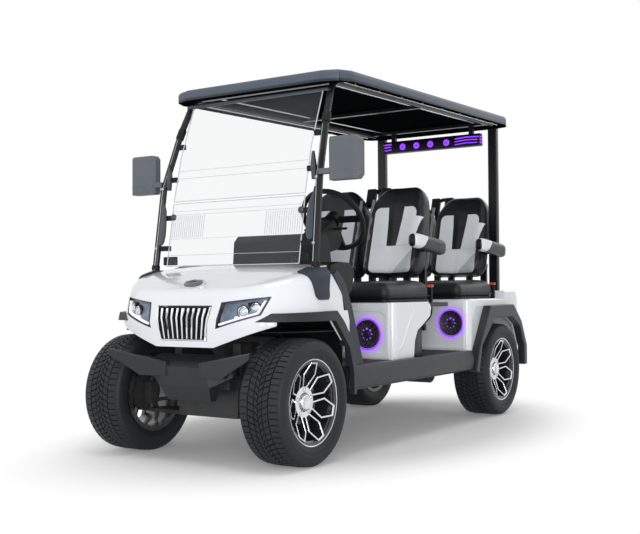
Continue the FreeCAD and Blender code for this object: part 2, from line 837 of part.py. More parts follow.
def make_dash():
    body = sketched("dashboard")
    pad(body, outline(body, "YZ_Plane", DASH), "1000", midplane=True)
    fillet(body, "18", lambda e: across_x(e) and e.Vertexes[0].Point.y > -790)
    pad(body, outline(body, "YZ_Plane", BINNACLE, "130"), "500", midplane=True)
    return body


def across_x(edge):
    a, b = edge.Vertexes[0].Point, edge.Vertexes[-1].Point
    return abs(a.y - b.y) < 0.01 and abs(a.z - b.z) < 0.01


piece("dashboard", make_dash())


def steering_way():
    """From the steering wheel's centre down the column."""
    lean = math.radians(z.wheel_tilt)
    return Vector(0, -math.cos(lean), -math.sin(lean))


WHEEL_TAIL = 61


def make_column():
    """Deep shroud from the binnacle to the steering wheel, with a stalk to each side."""
    lean = math.radians(z.wheel_tilt)
    centre = Vector(z.wheel_x, z.wheel_y, z.wheel_z)
    face = centre + steering_way() * (WHEEL_TAIL + z.clearance)
    high, low = [face + Vector(0, -math.sin(lean), math.cos(lean)) * reach for reach in (40, -95)]
    shroud = prism([(high.y, high.z), (low.y, low.z), (-522, 1008), (-666, 978), (-760, 970), (-760, 1040),
                    (-612, 1132)], "x", z.wheel_x - 55, z.wheel_x + 55)
    spot = centre + steering_way() * 92
    stalks = prism(disc(7, 8, spot.y, spot.z), "x", z.wheel_x - 130, z.wheel_x + 130)
    dash = prism([(a, b + 0.5) for a, b in DASH], "x", -500, 500)
    cluster = prism([(a + 0.5, b + 0.5) for a, b in BINNACLE], "x", -121, 381)
    return [part for part in shroud.fuse(stalks).cut([dash, cluster]).Solids if part.BoundBox.ZMax > 1100][0]


piece("steering_column", solid("column_made", make_column()))


def make_steering_wheel():
    """Rim, three flat spokes and hub, square to the column."""
    grip = [(z.wheel_grip * math.cos(math.radians(a)),
             z.wheel_radius + z.wheel_grip * math.sin(math.radians(a)))
            for a in range(0, 360, 45)]
    rim = faceted_ring(grip, 36)
    rim.rotate(Vector(), Vector(0, 1, 0), -90)
    hub = prism(disc(44, 16), "z", -18, 22)
    tail = Part.makeCylinder(20, WHEEL_TAIL - 16, Vector(0, 0, 16))
    spokes = []
    for angle in (0, 180, 270):
        spoke = Part.makeBox(z.wheel_radius - 4, 34, 12, Vector(0, -17, -6))
        spoke.rotate(Vector(), Vector(0, 0, 1), angle)
        spokes.append(spoke)
    wheel = rim.fuse([hub, tail] + spokes)
    wheel.Placement = Placement(Vector(z.wheel_x, z.wheel_y, z.wheel_z),
                                Rotation(Vector(0, 0, 1), steering_way()))
    return wheel


piece("steering_wheel", solid("wheel_made", make_steering_wheel()))


def make_pedals():
    pads = []
    for x, wide in ((195, 50), (100, 80)):
        pad_block = Part.makeBox(wide, 14, 80, Vector(x - wide / 2, -893, 545))
        stem = Part.makeBox(14, 14, 141.6, Vector(x - 7, -879, 575))
        pads.append(pad_block.fuse(stem))
    return Part.makeCompound(pads)


piece("pedals", solid("pedals_made", make_pedals()))


# Seat boxes and rear body

SPEAKER_SIDES = 36
BODY_CORNER = 34
REAR_SPEAKER_RISE = 33


def make_seat_box():
    """White front seat box, open below, its side cut back behind the knees."""
    profile = [("box_front_y", "floor_z + clearance"), ("box_front_y", "box_top"), ("105", "box_top"),
               ("130", "700"),
               ("116", "649"), ("20", "600"), ("-37", "575"), ("-70", "520"), ("-85", "floor_z + clearance")]
    body = sketched("front_box_shell")
    pad(body, outline(body, "YZ_Plane", profile), "2 * box_half", midplane=True)
    inner = [("box_front_y + skin", "floor_z"), ("box_front_y + skin", "box_top - skin"),
             ("200", "box_top - skin"),
             ("200", "floor_z")]
    pocket(body, outline(body, "YZ_Plane", inner), "2 * (box_half - skin)", midplane=True)
    fillet(body, f"{BODY_CORNER} - skin", lambda e: upright(e) and lies(e, y=z.box_front_y + z.skin))
    fillet(body, BODY_CORNER, lambda e: upright(e) and lies(e, y=z.box_front_y))
    hole = bar("speaker_hole", SPEAKER_SIDES, "speaker_radius + clearance", "60", "front_speaker_x",
               "box_front_y - 30",
               "speaker_z", (0, 1, 0))
    return cut("seat_box_cut", body, hole, mirror("speaker_hole_right", hole))


piece("front_seat_box", make_seat_box())


def rear_arch(inset=0):
    y = z.rear_axle_y
    return [(y - 415 + inset, 300), (y - 366 + inset, 460), (y - 163, z.arch_top - 33 - inset),
            (y + 120, z.arch_top - 33 - inset), (y + 240 - inset, 560), (y + 320 - inset, 420),
            (y + 320 - inset, 300)]


def make_rear_body():
    """White rear body: seat box, side panels over the wheels and the tail, one shell open below."""
    y0 = z.box_front_y + z.seat_pitch
    base = z.floor_z + z.clearance
    side = [(y0, base), (y0, z.box_top + z.row_rise), (y0 + 540, z.box_top + z.row_rise),
            (y0 + 556, z.deck_z),
            (z.body_rear_y - 60, z.deck_z), (z.body_rear_y, 690), (z.body_rear_y, base)]
    block = prism(side, "x", -z.body_half, z.body_half)
    block = block.makeFillet(BODY_CORNER, [e for e in block.Edges if upright(e)])
    top = [e for e in block.Edges
           if e.BoundBox.XLength < 1 and e.BoundBox.YLength > 50 and e.BoundBox.ZMin > 700]
    block = block.makeChamfer(8, top)
    hollow_side = [(y0 + z.skin, base - 10), (y0 + z.skin, z.box_top + z.row_rise - z.skin),
                   (y0 + 540, z.box_top + z.row_rise - z.skin), (y0 + 562, z.deck_z - z.skin),
                   (z.body_rear_y - 66, z.deck_z - z.skin), (z.body_rear_y - z.skin, 690),
                   (z.body_rear_y - z.skin, base - 10)]
    hollow = prism(hollow_side, "x", -z.body_half + z.skin, z.body_half - z.skin)
    hollow = hollow.makeFillet(BODY_CORNER - z.skin, [e for e in hollow.Edges if upright(e)])
    shell = block.cut(hollow)
    arch = prism(rear_arch(), "x", 300, 700)
    hole = prism(disc(z.speaker_radius + z.clearance, SPEAKER_SIDES, z.rear_speaker_x,
                      z.speaker_z + REAR_SPEAKER_RISE),
                 "y", y0 - 30, y0 + 30)
    return shell.cut([arch, flip_x(arch), hole, flip_x(hole)])


piece("rear_body", solid("rear_body_made", make_rear_body()))


def make_rear_flare():
    y = z.rear_axle_y
    outer = [(y + 366, 300), (y + 366, 430), (y + 275, 590), (y + 140, z.arch_top + z.flare_wide),
             (y - 240, z.arch_top + z.flare_wide - 4), (y - 330, 560), (y - 412, 440), (y - 455, 312),
             (y - 440, 300)]
    band = prism(rear_arch() + outer, "x", z.body_half + z.clearance, z.flare_half - 6)
    return Part.makeCompound([band, flip_x(band)])


piece("rear_flares", solid("rear_flares_made", make_rear_flare()))


def make_rear_bumper():
    body = sketched("rear_bumper")
    pad(body, outline(body, "XY_Plane", [
        ("-480", "body_rear_y + clearance"), ("480", "body_rear_y + clearance"), ("480", "1410"),
        ("400", "1440"),
        ("-400", "1440"), ("-480", "1410"),
    ], "430"), "110")
    return body


piece("rear_bumper", make_rear_bumper())


def make_tail_lamps():
    lamp = box("tail_lamp", "110", "14", "60", "400", "body_rear_y + clearance", "590")
    return both("tail_lamps_made", lamp)


piece("tail_lamps", make_tail_lamps())


def make_speakers():
    """Round speakers let into the seat boxes' front faces."""
    front = bar("speaker_front", SPEAKER_SIDES, "speaker_radius", "24", "front_speaker_x", "box_front_y - 4",
                "speaker_z",
                (0, 1, 0))
    rear = bar("speaker_rear", SPEAKER_SIDES, "speaker_radius", "24", "rear_speaker_x",
               "box_front_y + seat_pitch - 4",
               f"speaker_z + {REAR_SPEAKER_RISE}", (0, 1, 0))
    return together("speakers_made", front, mirror("speaker_front_right", front), rear,
                    mirror("speaker_rear_right", rear))


piece("speakers", make_speakers())


# Seats

def make_cushion(row):
    body = sketched(f"cushion_{row}")
    y = f"cushion_front_y + {row} * seat_pitch"
    low = f"box_top + {row} * row_rise + clearance"
    cut_in = {"low": "cushion_corner", "high": "- cushion_corner"}
    xs = {"low": "cushion_in", "high": "cushion_in + cushion_wide"}
    ys = {"low": y, "high": y + " + cushion_deep"}
    corners = []
    for a, b in (("low", "low"), ("high", "low"), ("high", "high"), ("low", "high")):
        pair = [(f"{xs[a]} + {cut_in[a]}", ys[b]), (xs[a], f"{ys[b]} + {cut_in[b]}")]
        corners += pair[::-1] if a == b else pair
    pad(body, outline(body, "XY_Plane", corners, low), "cushion_thick")
    return body


def make_cushions():
    left = [make_cushion(row) for row in (0, 1)]
    return together("cushions_made", *left, *[mirror(c.Name + "_right", c) for c in left])


piece("seat_cushions", make_cushions())


def leaned(shape, row):
    """Moves a shape drawn upright at the backrest's foot into its leaned place."""
    shape.Placement = Placement(Vector(0, z.back_y + row * z.seat_pitch, z.back_z + row * z.row_rise),
                                Rotation(Vector(1, 0, 0), -z.recline))
    return shape


def back_shape(row):
    """One backrest: it narrows and thins to the top, its inner top corner cut down for the belt towers."""
    left, right = z.back_in, z.back_in + z.back_wide
    high, deep = z.back_high, z.back_thick
    face = prism([(left, 30), (left + 25, 0), (right - 45, 0), (right, 60), (right, high * 0.6),
                  (right - 26, high - 60),
                  (right - 70, high), (left + 115, high), (left + 62, high - 38), (left, high - 120)], "y",
                  0, deep)
    side = prism([(0, 0), (0, high), (z.back_top_thick, high), (deep, high * 0.55), (deep, 0)], "x", left,
                 right)
    return leaned(face.common(side), row)


def make_backs():
    left = [back_shape(row) for row in (0, 1)]
    return Part.makeCompound(left + [flip_x(b) for b in left])


piece("seat_backs", solid("backs_made", make_backs()))


def make_seat_frame(row):
    """Legs and cross bar that carry a pair of backrests, with the belt hoop between them."""
    behind = z.back_thick + z.clearance
    bar = leaned(Part.makeBox(740, 24, 46, Vector(-370, behind, 64)), row)
    side = [Vector(52, behind + 12, 80), Vector(52, behind + 15, 310), Vector(52, behind + 10, 590)]
    hoop = leaned(bent_tube([Vector(-p.x, p.y, p.z) for p in side] + side[::-1], 12, 36), row)
    y = bar.BoundBox.YMin + 14
    shelf_top = z.box_top - z.skin - z.clearance
    base = z.deck_z + z.clearance if row else shelf_top - 12
    legs = []
    for x in (0, 105, 240, 345):
        leg = Part.makeBox(42, 22, bar.CenterOfMass.z - base, Vector(x - 21, y, base))
        legs += [leg] if x == 0 else [leg, flip_x(leg)]
    parts = legs[1:] + [bar, hoop]
    if not row:
        parts.append(Part.makeBox(1000, y + 30 - 60, 24, Vector(-500, 60, shelf_top - 24)))
    return legs[0].fuse(parts).removeSplitter()


piece("seat_frames", solid("seat_frames_made", Part.makeCompound([make_seat_frame(0), make_seat_frame(1)])))


def make_towers():
    """Belt reel housings in front of the hoops."""
    made = []
    for row in (0, 1):
        tower = leaned(Part.makeBox(62, 29.5, 125, Vector(20, z.back_thick - 32, 465)), row)
        made += [tower, flip_x(tower)]
    return Part.makeCompound(made)


piece("belt_towers", solid("towers_made", make_towers()))


def make_belts():
    """Buckles that stand at the cushions' outer rear corners."""
    made = []
    for row in (0, 1):
        y = z.cushion_front_y + row * z.seat_pitch + z.cushion_deep
        base = z.box_top + z.row_rise + z.clearance if row else z.box_top - z.skin
        stalk = Part.makeBox(26, 14, 95, Vector(470, y + 6, base))
        made += [stalk, flip_x(stalk)]
    return Part.makeCompound(made)


piece("seat_belts", solid("belts_made", make_belts()))


def make_armrest(row, side):
    """Padded armrest that swings up about its rear end."""
    body = sketched(f"armrest_{'rear' if row else 'front'}_{side}")
    sign = 1 if side == "left" else -1
    half = "arm_high / 2"
    front = "-arm_long + 32"
    pad(body, outline(body, "YZ_Plane", [
        (front, f"-{half} + arm_corner"), (front, f"{half} - arm_corner"), (front + " + arm_corner", half),
        ("32 - arm_corner", half), ("32", f"{half} - arm_corner"), ("32", f"-{half} + arm_corner"),
        ("32 - arm_corner", f"-{half}"), (front + " + arm_corner", f"-{half}"),
    ]), "arm_wide", midplane=True)
    place(body, f"{sign} * (arm_in + arm_wide / 2)", f"arm_pivot_y + {row} * seat_pitch",
          f"arm_pivot_z + {row} * row_rise",
          (1, 0, 0), -z.arm_tilt)
    return body


for row in (0, 1):
    for side in ("left", "right"):
        made = make_armrest(row, side)
        piece(made.Name, made)


def make_pivots():
    """Brackets from the backrests to the armrests' pivots."""
    made = []
    for row in (0, 1):
        spot = Vector(z.back_in + z.back_wide + z.clearance, z.arm_pivot_y - 20 + row * z.seat_pitch,
                      z.arm_pivot_z - 20 + row * z.row_rise)
        bracket = Part.makeBox(z.arm_in - z.clearance - spot.x, 40, 40, spot)
        made += [bracket, flip_x(bracket)]
    return Part.makeCompound(made)


piece("armrest_brackets", solid("pivots_made", make_pivots()))


# Canopy

def roof_z(y, above=0):
    """Height of the roof's lower face at y."""
    return z.roof_front_z + above + (y - z.roof_front_y) * math.tan(math.radians(z.roof_pitch))


# how far the underside is hollowed
ROOF_DEEP = 40


def make_roof():
    body = sketched("roof")
    r = "roof_corner * 0.3"
    pad(body, outline(body, "XY_Plane", [
        ("-roof_half", "roof_corner"), ("-roof_half + " + r, r), ("-roof_half + roof_corner", "0"),
        ("roof_half - roof_corner", "0"), ("roof_half - " + r, r), ("roof_half", "roof_corner"),
        ("roof_half", "roof_long - roof_corner"), ("roof_half - " + r, "roof_long - " + r),
        ("roof_half - roof_corner", "roof_long"), ("-roof_half + roof_corner", "roof_long"),
        ("-roof_half + " + r, "roof_long - " + r), ("-roof_half", "roof_long - roof_corner"),
    ]), "roof_thick")
    fillet(body, "28", lambda e: lies(e, z=z.roof_thick))
    pocket(body, outline(body, "XY_Plane", [
        ("-roof_half + 40", "60"), ("roof_half - 40", "60"),
        ("roof_half - 40", "roof_long - 60"), ("-roof_half + 40", "roof_long - 60"),
    ]), ROOF_DEEP, flip=True)
    return place(body, "0", "roof_front_y", "roof_front_z", (1, 0, 0), z.roof_pitch)


piece("roof", make_roof())


# room for the tube's corners under the roof
TUBE_EASE = 1
POST_LINE = [Vector(500, -1015, 880), Vector(489, -957, 1332), Vector(462, -850, 1640)]


def make_post_tube(radius):
    rear = z.rear_post_y - 70
    above = ROOF_DEEP - z.post_radius - TUBE_EASE
    return bent_tube(POST_LINE + [
        Vector(z.post_x, -760, roof_z(-760, above)), Vector(z.post_x, -560, roof_z(-560, above)),
        Vector(z.post_x, rear, roof_z(rear, above)),
    ], radius, 90)


def make_canopy_frame():
    """Windscreen posts that bend back into the roof's side rails, with cross tubes between them."""
    side = make_post_tube(z.post_radius).cut(cowl_block(-SOCKET_THICK - z.clearance))
    parts = [side, flip_x(side)]
    for y in (-740, 250, z.rear_post_y - 130):
        parts.append(Part.makeBox(2 * z.post_x, 30, 20, Vector(-z.post_x, y, roof_z(y, 12))))
    return parts[0].fuse(parts[1:])


piece("canopy_frame", solid("canopy_made", make_canopy_frame()))


def make_rear_posts():
    high = roof_z(z.rear_post_y - z.rear_post_deep / 2, -2 * z.clearance)
    post = Part.makeBox(z.rear_post_wide, z.rear_post_deep, high - z.deck_z,
                        Vector(z.rear_post_x - z.rear_post_wide / 2, z.rear_post_y - z.rear_post_deep / 2,
                               z.deck_z + z.clearance))
    return Part.makeCompound([post, flip_x(post)])


piece("rear_posts", solid("rear_posts_made", make_rear_posts()))


def make_windscreen():
    """Two clear panes, hinged at mid height, that lean with the posts."""
    low = [(-1018, 924), (-964, 1250)]
    high = [(-962, 1262), (-905, 1500), (-800, 1780)]
    panes = []
    for line in (low, high):
        ahead = [(y - z.glass_thick, height) for y, height in line]
        panes.append(prism(line + ahead[::-1], "x", -z.glass_half, z.glass_half))
    return Part.makeCompound(panes)


piece("windscreen", solid("windscreen_made", make_windscreen()))


def make_fittings():
    """Clips between the posts and the panes."""
    made = []
    for height in (1018, 1177, 1380, 1560):
        low, high = [(a, b) for a, b in zip(POST_LINE, POST_LINE[1:]) if a.z <= height <= b.z][0]
        spot = low + (high - low) * ((height - low.z) / (high.z - low.z))
        start = z.glass_half + z.clearance
        clip = Part.makeBox(spot.x - z.post_radius + 2 - start, 20, 26,
                            Vector(start, spot.y - 10, height - 13))
        clip = clip.cut(make_post_tube(z.post_radius + z.clearance))
        made += [clip, flip_x(clip)]
    return Part.makeCompound(made)


piece("windscreen_clips", solid("fittings_made", make_fittings()))


def make_mirrors():
    """Door mirrors: a rounded head on a short arm from each windscreen post."""
    face = prism([(552, 1312), (700, 1312), (717, 1332), (717, 1490), (690, 1517), (560, 1517), (545, 1500),
                  (545, 1326)],
                 "y", -985, -923)
    plan = prism([(545, -923), (545, -960), (565, -985), (690, -985), (717, -956), (717, -923)], "z", 1300,
                 1530)
    rise = prism([(-923, 1300), (-972, 1300), (-985, 1330), (-985, 1494), (-966, 1530), (-923, 1530)], "x",
                 540, 720)
    head = face.common(plan).common(rise)
    arm = Part.makeBox(70, 34, 26, Vector(495, -975, 1345)).cut(make_post_tube(z.post_radius + z.clearance))
    left = head.fuse(arm)
    return Part.makeCompound([left, flip_x(left)])


piece("mirrors", solid("mirrors_made", make_mirrors()))


def make_sound_bar():
    body = sketched("sound_bar_housing")
    pad(body, outline(body, "YZ_Plane", [
        ("1195", "1760"), ("1190", "1800"), ("1205", "1842"), ("1245", "1842"), ("1250", "1760"),
    ]), "730", midplane=True)
    hanger = box("hanger", "30", "30", f"{roof_z(1210, ROOF_DEEP)} - 1841", "280", "1210",
                 "1841 - clearance")
    return fuse("sound_bar_made", body, hanger, mirror("hanger_right", hanger))


piece("sound_bar", make_sound_bar())


# Checks, then one file for each piece

doc.recompute()
for thing in doc.Objects:
    if "Invalid" in thing.State or "Error" in thing.State:
        raise RuntimeError(f"{thing.Label} did not build: {thing.State}")
os.makedirs("parts", exist_ok=True)
for thing in PIECES:
    if thing.Shape.isNull() or not thing.Shape.isValid() or not thing.Shape.Solids:
        raise RuntimeError(f"{thing.Label} has no valid shape")
    thing.Shape.exportStep(f"parts/{thing.Label}.step")
    print(thing.Label, len(thing.Shape.Solids), round(thing.Shape.Volume / 1e6, 3))
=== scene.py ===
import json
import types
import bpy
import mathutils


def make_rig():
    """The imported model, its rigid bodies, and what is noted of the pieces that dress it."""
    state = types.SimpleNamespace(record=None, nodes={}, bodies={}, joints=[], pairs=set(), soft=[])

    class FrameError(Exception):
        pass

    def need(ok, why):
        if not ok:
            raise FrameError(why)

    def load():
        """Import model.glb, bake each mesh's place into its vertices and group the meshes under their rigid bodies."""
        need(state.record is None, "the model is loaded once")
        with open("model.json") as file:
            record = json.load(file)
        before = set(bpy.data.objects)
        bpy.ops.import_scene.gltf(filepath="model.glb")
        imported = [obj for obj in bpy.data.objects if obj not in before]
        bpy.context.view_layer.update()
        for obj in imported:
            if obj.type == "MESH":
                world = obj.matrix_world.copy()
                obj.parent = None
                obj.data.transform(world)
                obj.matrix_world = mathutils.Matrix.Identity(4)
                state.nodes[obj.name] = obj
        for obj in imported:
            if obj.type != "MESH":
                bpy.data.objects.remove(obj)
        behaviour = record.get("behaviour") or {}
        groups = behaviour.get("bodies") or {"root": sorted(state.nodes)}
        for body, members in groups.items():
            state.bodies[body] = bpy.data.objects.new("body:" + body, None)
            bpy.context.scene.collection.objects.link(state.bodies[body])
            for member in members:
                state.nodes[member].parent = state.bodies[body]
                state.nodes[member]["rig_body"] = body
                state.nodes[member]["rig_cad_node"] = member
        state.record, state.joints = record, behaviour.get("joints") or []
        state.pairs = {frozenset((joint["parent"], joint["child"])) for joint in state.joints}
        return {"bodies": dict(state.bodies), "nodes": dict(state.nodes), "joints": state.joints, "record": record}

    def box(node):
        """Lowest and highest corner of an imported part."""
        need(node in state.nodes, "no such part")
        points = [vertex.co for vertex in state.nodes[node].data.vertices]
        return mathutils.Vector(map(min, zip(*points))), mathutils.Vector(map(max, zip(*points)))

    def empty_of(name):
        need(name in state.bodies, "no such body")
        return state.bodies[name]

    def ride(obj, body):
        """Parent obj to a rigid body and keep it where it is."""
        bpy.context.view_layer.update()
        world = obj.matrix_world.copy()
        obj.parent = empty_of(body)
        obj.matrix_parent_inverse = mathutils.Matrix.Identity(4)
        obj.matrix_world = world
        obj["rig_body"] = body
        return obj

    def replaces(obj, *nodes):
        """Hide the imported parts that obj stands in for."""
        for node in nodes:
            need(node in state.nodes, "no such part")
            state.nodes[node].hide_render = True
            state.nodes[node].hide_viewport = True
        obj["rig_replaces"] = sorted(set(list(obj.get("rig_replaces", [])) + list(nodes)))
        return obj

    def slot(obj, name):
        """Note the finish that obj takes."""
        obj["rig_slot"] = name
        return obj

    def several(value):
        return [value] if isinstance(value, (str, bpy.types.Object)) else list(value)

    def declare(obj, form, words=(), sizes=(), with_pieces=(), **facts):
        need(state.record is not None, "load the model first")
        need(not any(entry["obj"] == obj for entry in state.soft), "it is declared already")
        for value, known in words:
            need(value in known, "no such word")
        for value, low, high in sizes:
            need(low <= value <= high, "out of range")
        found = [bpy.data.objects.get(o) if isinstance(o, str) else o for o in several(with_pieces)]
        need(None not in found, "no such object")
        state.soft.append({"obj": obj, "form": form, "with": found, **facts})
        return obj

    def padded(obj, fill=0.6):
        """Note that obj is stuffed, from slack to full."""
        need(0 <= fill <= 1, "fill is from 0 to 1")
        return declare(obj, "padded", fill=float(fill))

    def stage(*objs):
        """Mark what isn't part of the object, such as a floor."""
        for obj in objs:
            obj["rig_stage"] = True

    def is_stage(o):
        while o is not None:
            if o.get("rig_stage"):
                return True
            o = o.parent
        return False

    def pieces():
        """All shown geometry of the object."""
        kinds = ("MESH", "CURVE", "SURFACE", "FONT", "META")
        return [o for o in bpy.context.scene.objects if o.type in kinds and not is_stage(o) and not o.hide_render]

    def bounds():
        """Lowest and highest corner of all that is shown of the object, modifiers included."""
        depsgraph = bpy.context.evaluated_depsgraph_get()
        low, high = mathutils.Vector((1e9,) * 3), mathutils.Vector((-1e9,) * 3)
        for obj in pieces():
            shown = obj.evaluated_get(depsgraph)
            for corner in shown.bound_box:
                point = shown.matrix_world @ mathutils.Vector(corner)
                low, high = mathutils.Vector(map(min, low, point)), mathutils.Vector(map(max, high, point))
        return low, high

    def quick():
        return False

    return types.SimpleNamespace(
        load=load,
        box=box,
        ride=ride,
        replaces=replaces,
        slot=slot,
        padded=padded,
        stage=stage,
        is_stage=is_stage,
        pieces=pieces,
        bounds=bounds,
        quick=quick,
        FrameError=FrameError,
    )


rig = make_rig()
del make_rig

bl_info = {
    "name": "Electric golf cart",
    "version": (1, 0, 0),
    "blender": (4, 5, 0),
    "location": "3D View > Sidebar > Golf Cart",
    "description": "Dresses the four-seat golf cart's frame with its finished pieces",
    "category": "Object",
}

import json
import math
import sys

import bmesh
import bpy
from mathutils import Matrix, Vector

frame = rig.load()
CAD_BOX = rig.bounds()
NODES = frame["nodes"]
WHEELS = {"front_left": 1, "front_right": -1, "rear_left": 1, "rear_right": -1}
# each pair of speakers: how far out, at which face and how high
SPEAKERS = ((0.362, -0.300, 0.561), (0.424, 0.605, 0.594))
# the rear row of seats stands this far behind the front row, and this much higher
ROW_STEP, ROW_RISE = 0.905, 0.010
# foot of the front row's backrests, and how far all backrests lean
BACK_Y, BACK_FOOT, BACK_LEAN = 0.212, 0.895, math.radians(16)
# the roof's lower face at its front edge, and how it rises to the rear
ROOF_FRONT, ROOF_LOW, ROOF_PITCH = -0.850, 1.812, math.radians(1.75)


# Sizes and colours

class CartSizes(bpy.types.PropertyGroup):
    tread_pitches: bpy.props.IntProperty(name="Tread pitches", description="Tread blocks round one tyre", default=62)
    groove_radius: bpy.props.FloatProperty(
        name="Groove radius", description="Radius at the bottom of the tread grooves", default=0.2815, unit="LENGTH")
    pad_voxel: bpy.props.FloatProperty(
        name="Pad voxel", description="Remesh size of the padded pieces", default=0.008, unit="LENGTH")
    pad_pressure: bpy.props.FloatProperty(name="Pad pressure", description="Pressure that fills the pads", default=4.0)
    pad_swell: bpy.props.FloatProperty(
        name="Pad swell", description="Furthest that a pad's surface moves", default=0.006, unit="LENGTH")
    edge_round: bpy.props.FloatProperty(
        name="Edge round", description="Rounding on moulded edges", default=0.0025, unit="LENGTH")


def colour(name, description, value):
    return bpy.props.FloatVectorProperty(
        name=name, description=description, default=value, size=3, subtype="COLOR", min=0, max=1)


class CartColours(bpy.types.PropertyGroup):
    body: colour("Body", "Gloss body panels", (0.84, 0.87, 0.91))
    charcoal: colour("Charcoal", "Bumpers, flares and sills", (0.021, 0.024, 0.028))
    trim: colour("Trim", "Side trims behind the fenders", (0.034, 0.043, 0.055))
    roof: colour("Roof", "Canopy moulding", (0.080, 0.100, 0.130))
    black: colour("Black", "Black mouldings and tubes", (0.0055, 0.006, 0.007))
    rubber: colour("Rubber", "Tyres", (0.0075, 0.0085, 0.0100))
    pad_light: colour("Light vinyl", "Light seat panels", (0.84, 0.88, 0.93))
    pad_dark: colour("Dark vinyl", "Dark seat panels", (0.0085, 0.0100, 0.0125))
    glow: colour("Glow", "Rings and lamps that light up", (0.30, 0.06, 0.95))


def sizes():
    return bpy.context.scene.cart_sizes


def tone(name):
    return tuple(getattr(bpy.context.scene.cart_colours, name))


# Shader maths

class Sock:
    """A node's output that takes part in Python expressions."""

    def __init__(self, tree, socket):
        self.tree, self.socket = tree, socket

    def math(self, operation, *others):
        node = self.tree.nodes.new("ShaderNodeMath")
        node.operation = operation
        for slot, value in zip(node.inputs, (self, *others)):
            join(self.tree, slot, value)
        return Sock(self.tree, node.outputs[0])

    def __add__(self, other):
        return self.math("ADD", other)

    def __sub__(self, other):
        return self.math("SUBTRACT", other)

    def __rsub__(self, other):
        return (self * -1) + other

    def __mul__(self, other):
        return self.math("MULTIPLY", other)

    def __abs__(self):
        return self.math("ABSOLUTE")

    __radd__, __rmul__ = __add__, __mul__

    def over(self, edge, soft=0.0005):
        """1 where the value is past the edge, 0 before it."""
        node = self.tree.nodes.new("ShaderNodeMapRange")
        node.interpolation_type = "SMOOTHSTEP"
        for name, value in (("Value", self), ("From Min", edge - soft), ("From Max", edge + soft)):
            join(self.tree, node.inputs[name], value)
        return Sock(self.tree, node.outputs[0])

    def under(self, edge, soft=0.0005):
        return 1 - self.over(edge, soft)

    def band(self, low, high, soft=0.0005):
        return self.over(low, soft) * self.under(high, soft)

    def either(self, other):
        return self.math("MAXIMUM", other)


def join(tree, slot, value):
    """Links or sets an input, as the value is a node's output or a constant."""
    if isinstance(value, Sock):
        tree.links.new(value.socket, slot)
    elif slot.type == "RGBA" and len(value) == 3:
        slot.default_value = (*value, 1)
    else:
        slot.default_value = value


class Finish:
    """A procedural material, read on the piece's own Object coordinates."""

    def __init__(self, name):
        self.material = bpy.data.materials.new(name)
        self.material.use_nodes = True
        self.tree = self.material.node_tree
        self.shader = self.tree.nodes["Principled BSDF"]
        self.place = self.node("ShaderNodeTexCoord", out="Object")

    def node(self, kind, settings=None, links=None, out=0):
        node = self.tree.nodes.new(kind)
        for name, value in (settings or {}).items():
            setattr(node, name, value)
        for name, value in (links or {}).items():
            join(self.tree, node.inputs[name], value)
        return Sock(self.tree, node.outputs[out])

    def axes(self):
        node = self.tree.nodes.new("ShaderNodeSeparateXYZ")
        join(self.tree, node.inputs[0], self.place)
        return [Sock(self.tree, o) for o in node.outputs]

    def grain(self, scale, detail=2.0, rough=0.5, stretch=(1, 1, 1)):
        place = self.place
        if stretch != (1, 1, 1):
            place = self.node("ShaderNodeVectorMath", {"operation": "MULTIPLY"}, {0: place, 1: stretch})
        return self.node("ShaderNodeTexNoise", None,
                         {"Vector": place, "Scale": scale, "Detail": detail, "Roughness": rough}, "Fac")

    def cells(self, scale, feature="F1"):
        links = {"Vector": self.place, "Scale": scale}
        return self.node("ShaderNodeTexVoronoi", {"feature": feature}, links, "Distance")

    def leather(self):
        """The fine pebbles of seat vinyl."""
        return self.cells(520, "DISTANCE_TO_EDGE").math("MINIMUM", 0.25)

    def blend(self, first, second, factor):
        node = self.tree.nodes.new("ShaderNodeMix")
        node.data_type = "RGBA"
        join(self.tree, node.inputs["Factor"], factor)
        join(self.tree, node.inputs[6], first)
        join(self.tree, node.inputs[7], second)
        return Sock(self.tree, node.outputs[2])

    def bump(self, height, distance):
        self.set(Normal=self.node("ShaderNodeBump", None, {"Height": height, "Distance": distance}))

    def set(self, **inputs):
        for name, value in inputs.items():
            join(self.tree, self.shader.inputs[name.replace("_", " ")], value)

    def fixed(self, **inputs):
        for name, value in inputs.items():
            self.shader.inputs[name.replace("_", " ")].default_value = value


def apart(a, b):
    """Length of the flat line with these two legs."""
    return (a * a + b * b).math("SQRT")


def shade(base, factor):
    """A colour made darker or lighter."""
    return tuple(min(1, c * factor) for c in base)


def finish_body():
    """Gloss white moulding with a faint orange peel and soft clouding, and a painted purple glow round the speakers."""
    made = Finish("body_gloss")
    base, glow = tone("body"), tone("glow")
    x, y, height = made.axes()
    # painted glow: the light of the speakers' lit rings is painted into the panel's colour and emission round them
    halo = None
    for across, front, up in SPEAKERS:
        far = apart(abs(x) - across, height - up)
        near = y.band(front - 0.03, front + 0.03, 0.004)
        ring_light = (1 - far.over(0.103, 0.024)) * near
        halo = ring_light if halo is None else halo.either(ring_light)
    plain = made.blend(base, shade(base, 0.965), made.grain(3, 3))
    made.set(Base_Color=made.blend(plain, (0.62, 0.44, 0.92), halo * 0.75), Roughness=0.10 + made.grain(40) * 0.10,
             Coat_Weight=0.4 + made.grain(5) * 0.1, Emission_Color=made.blend((0, 0, 0), glow, halo * 0.30))
    made.fixed(Coat_Roughness=0.05, Emission_Strength=1.0)
    made.bump(made.grain(220, 1), 0.00012)
    return made


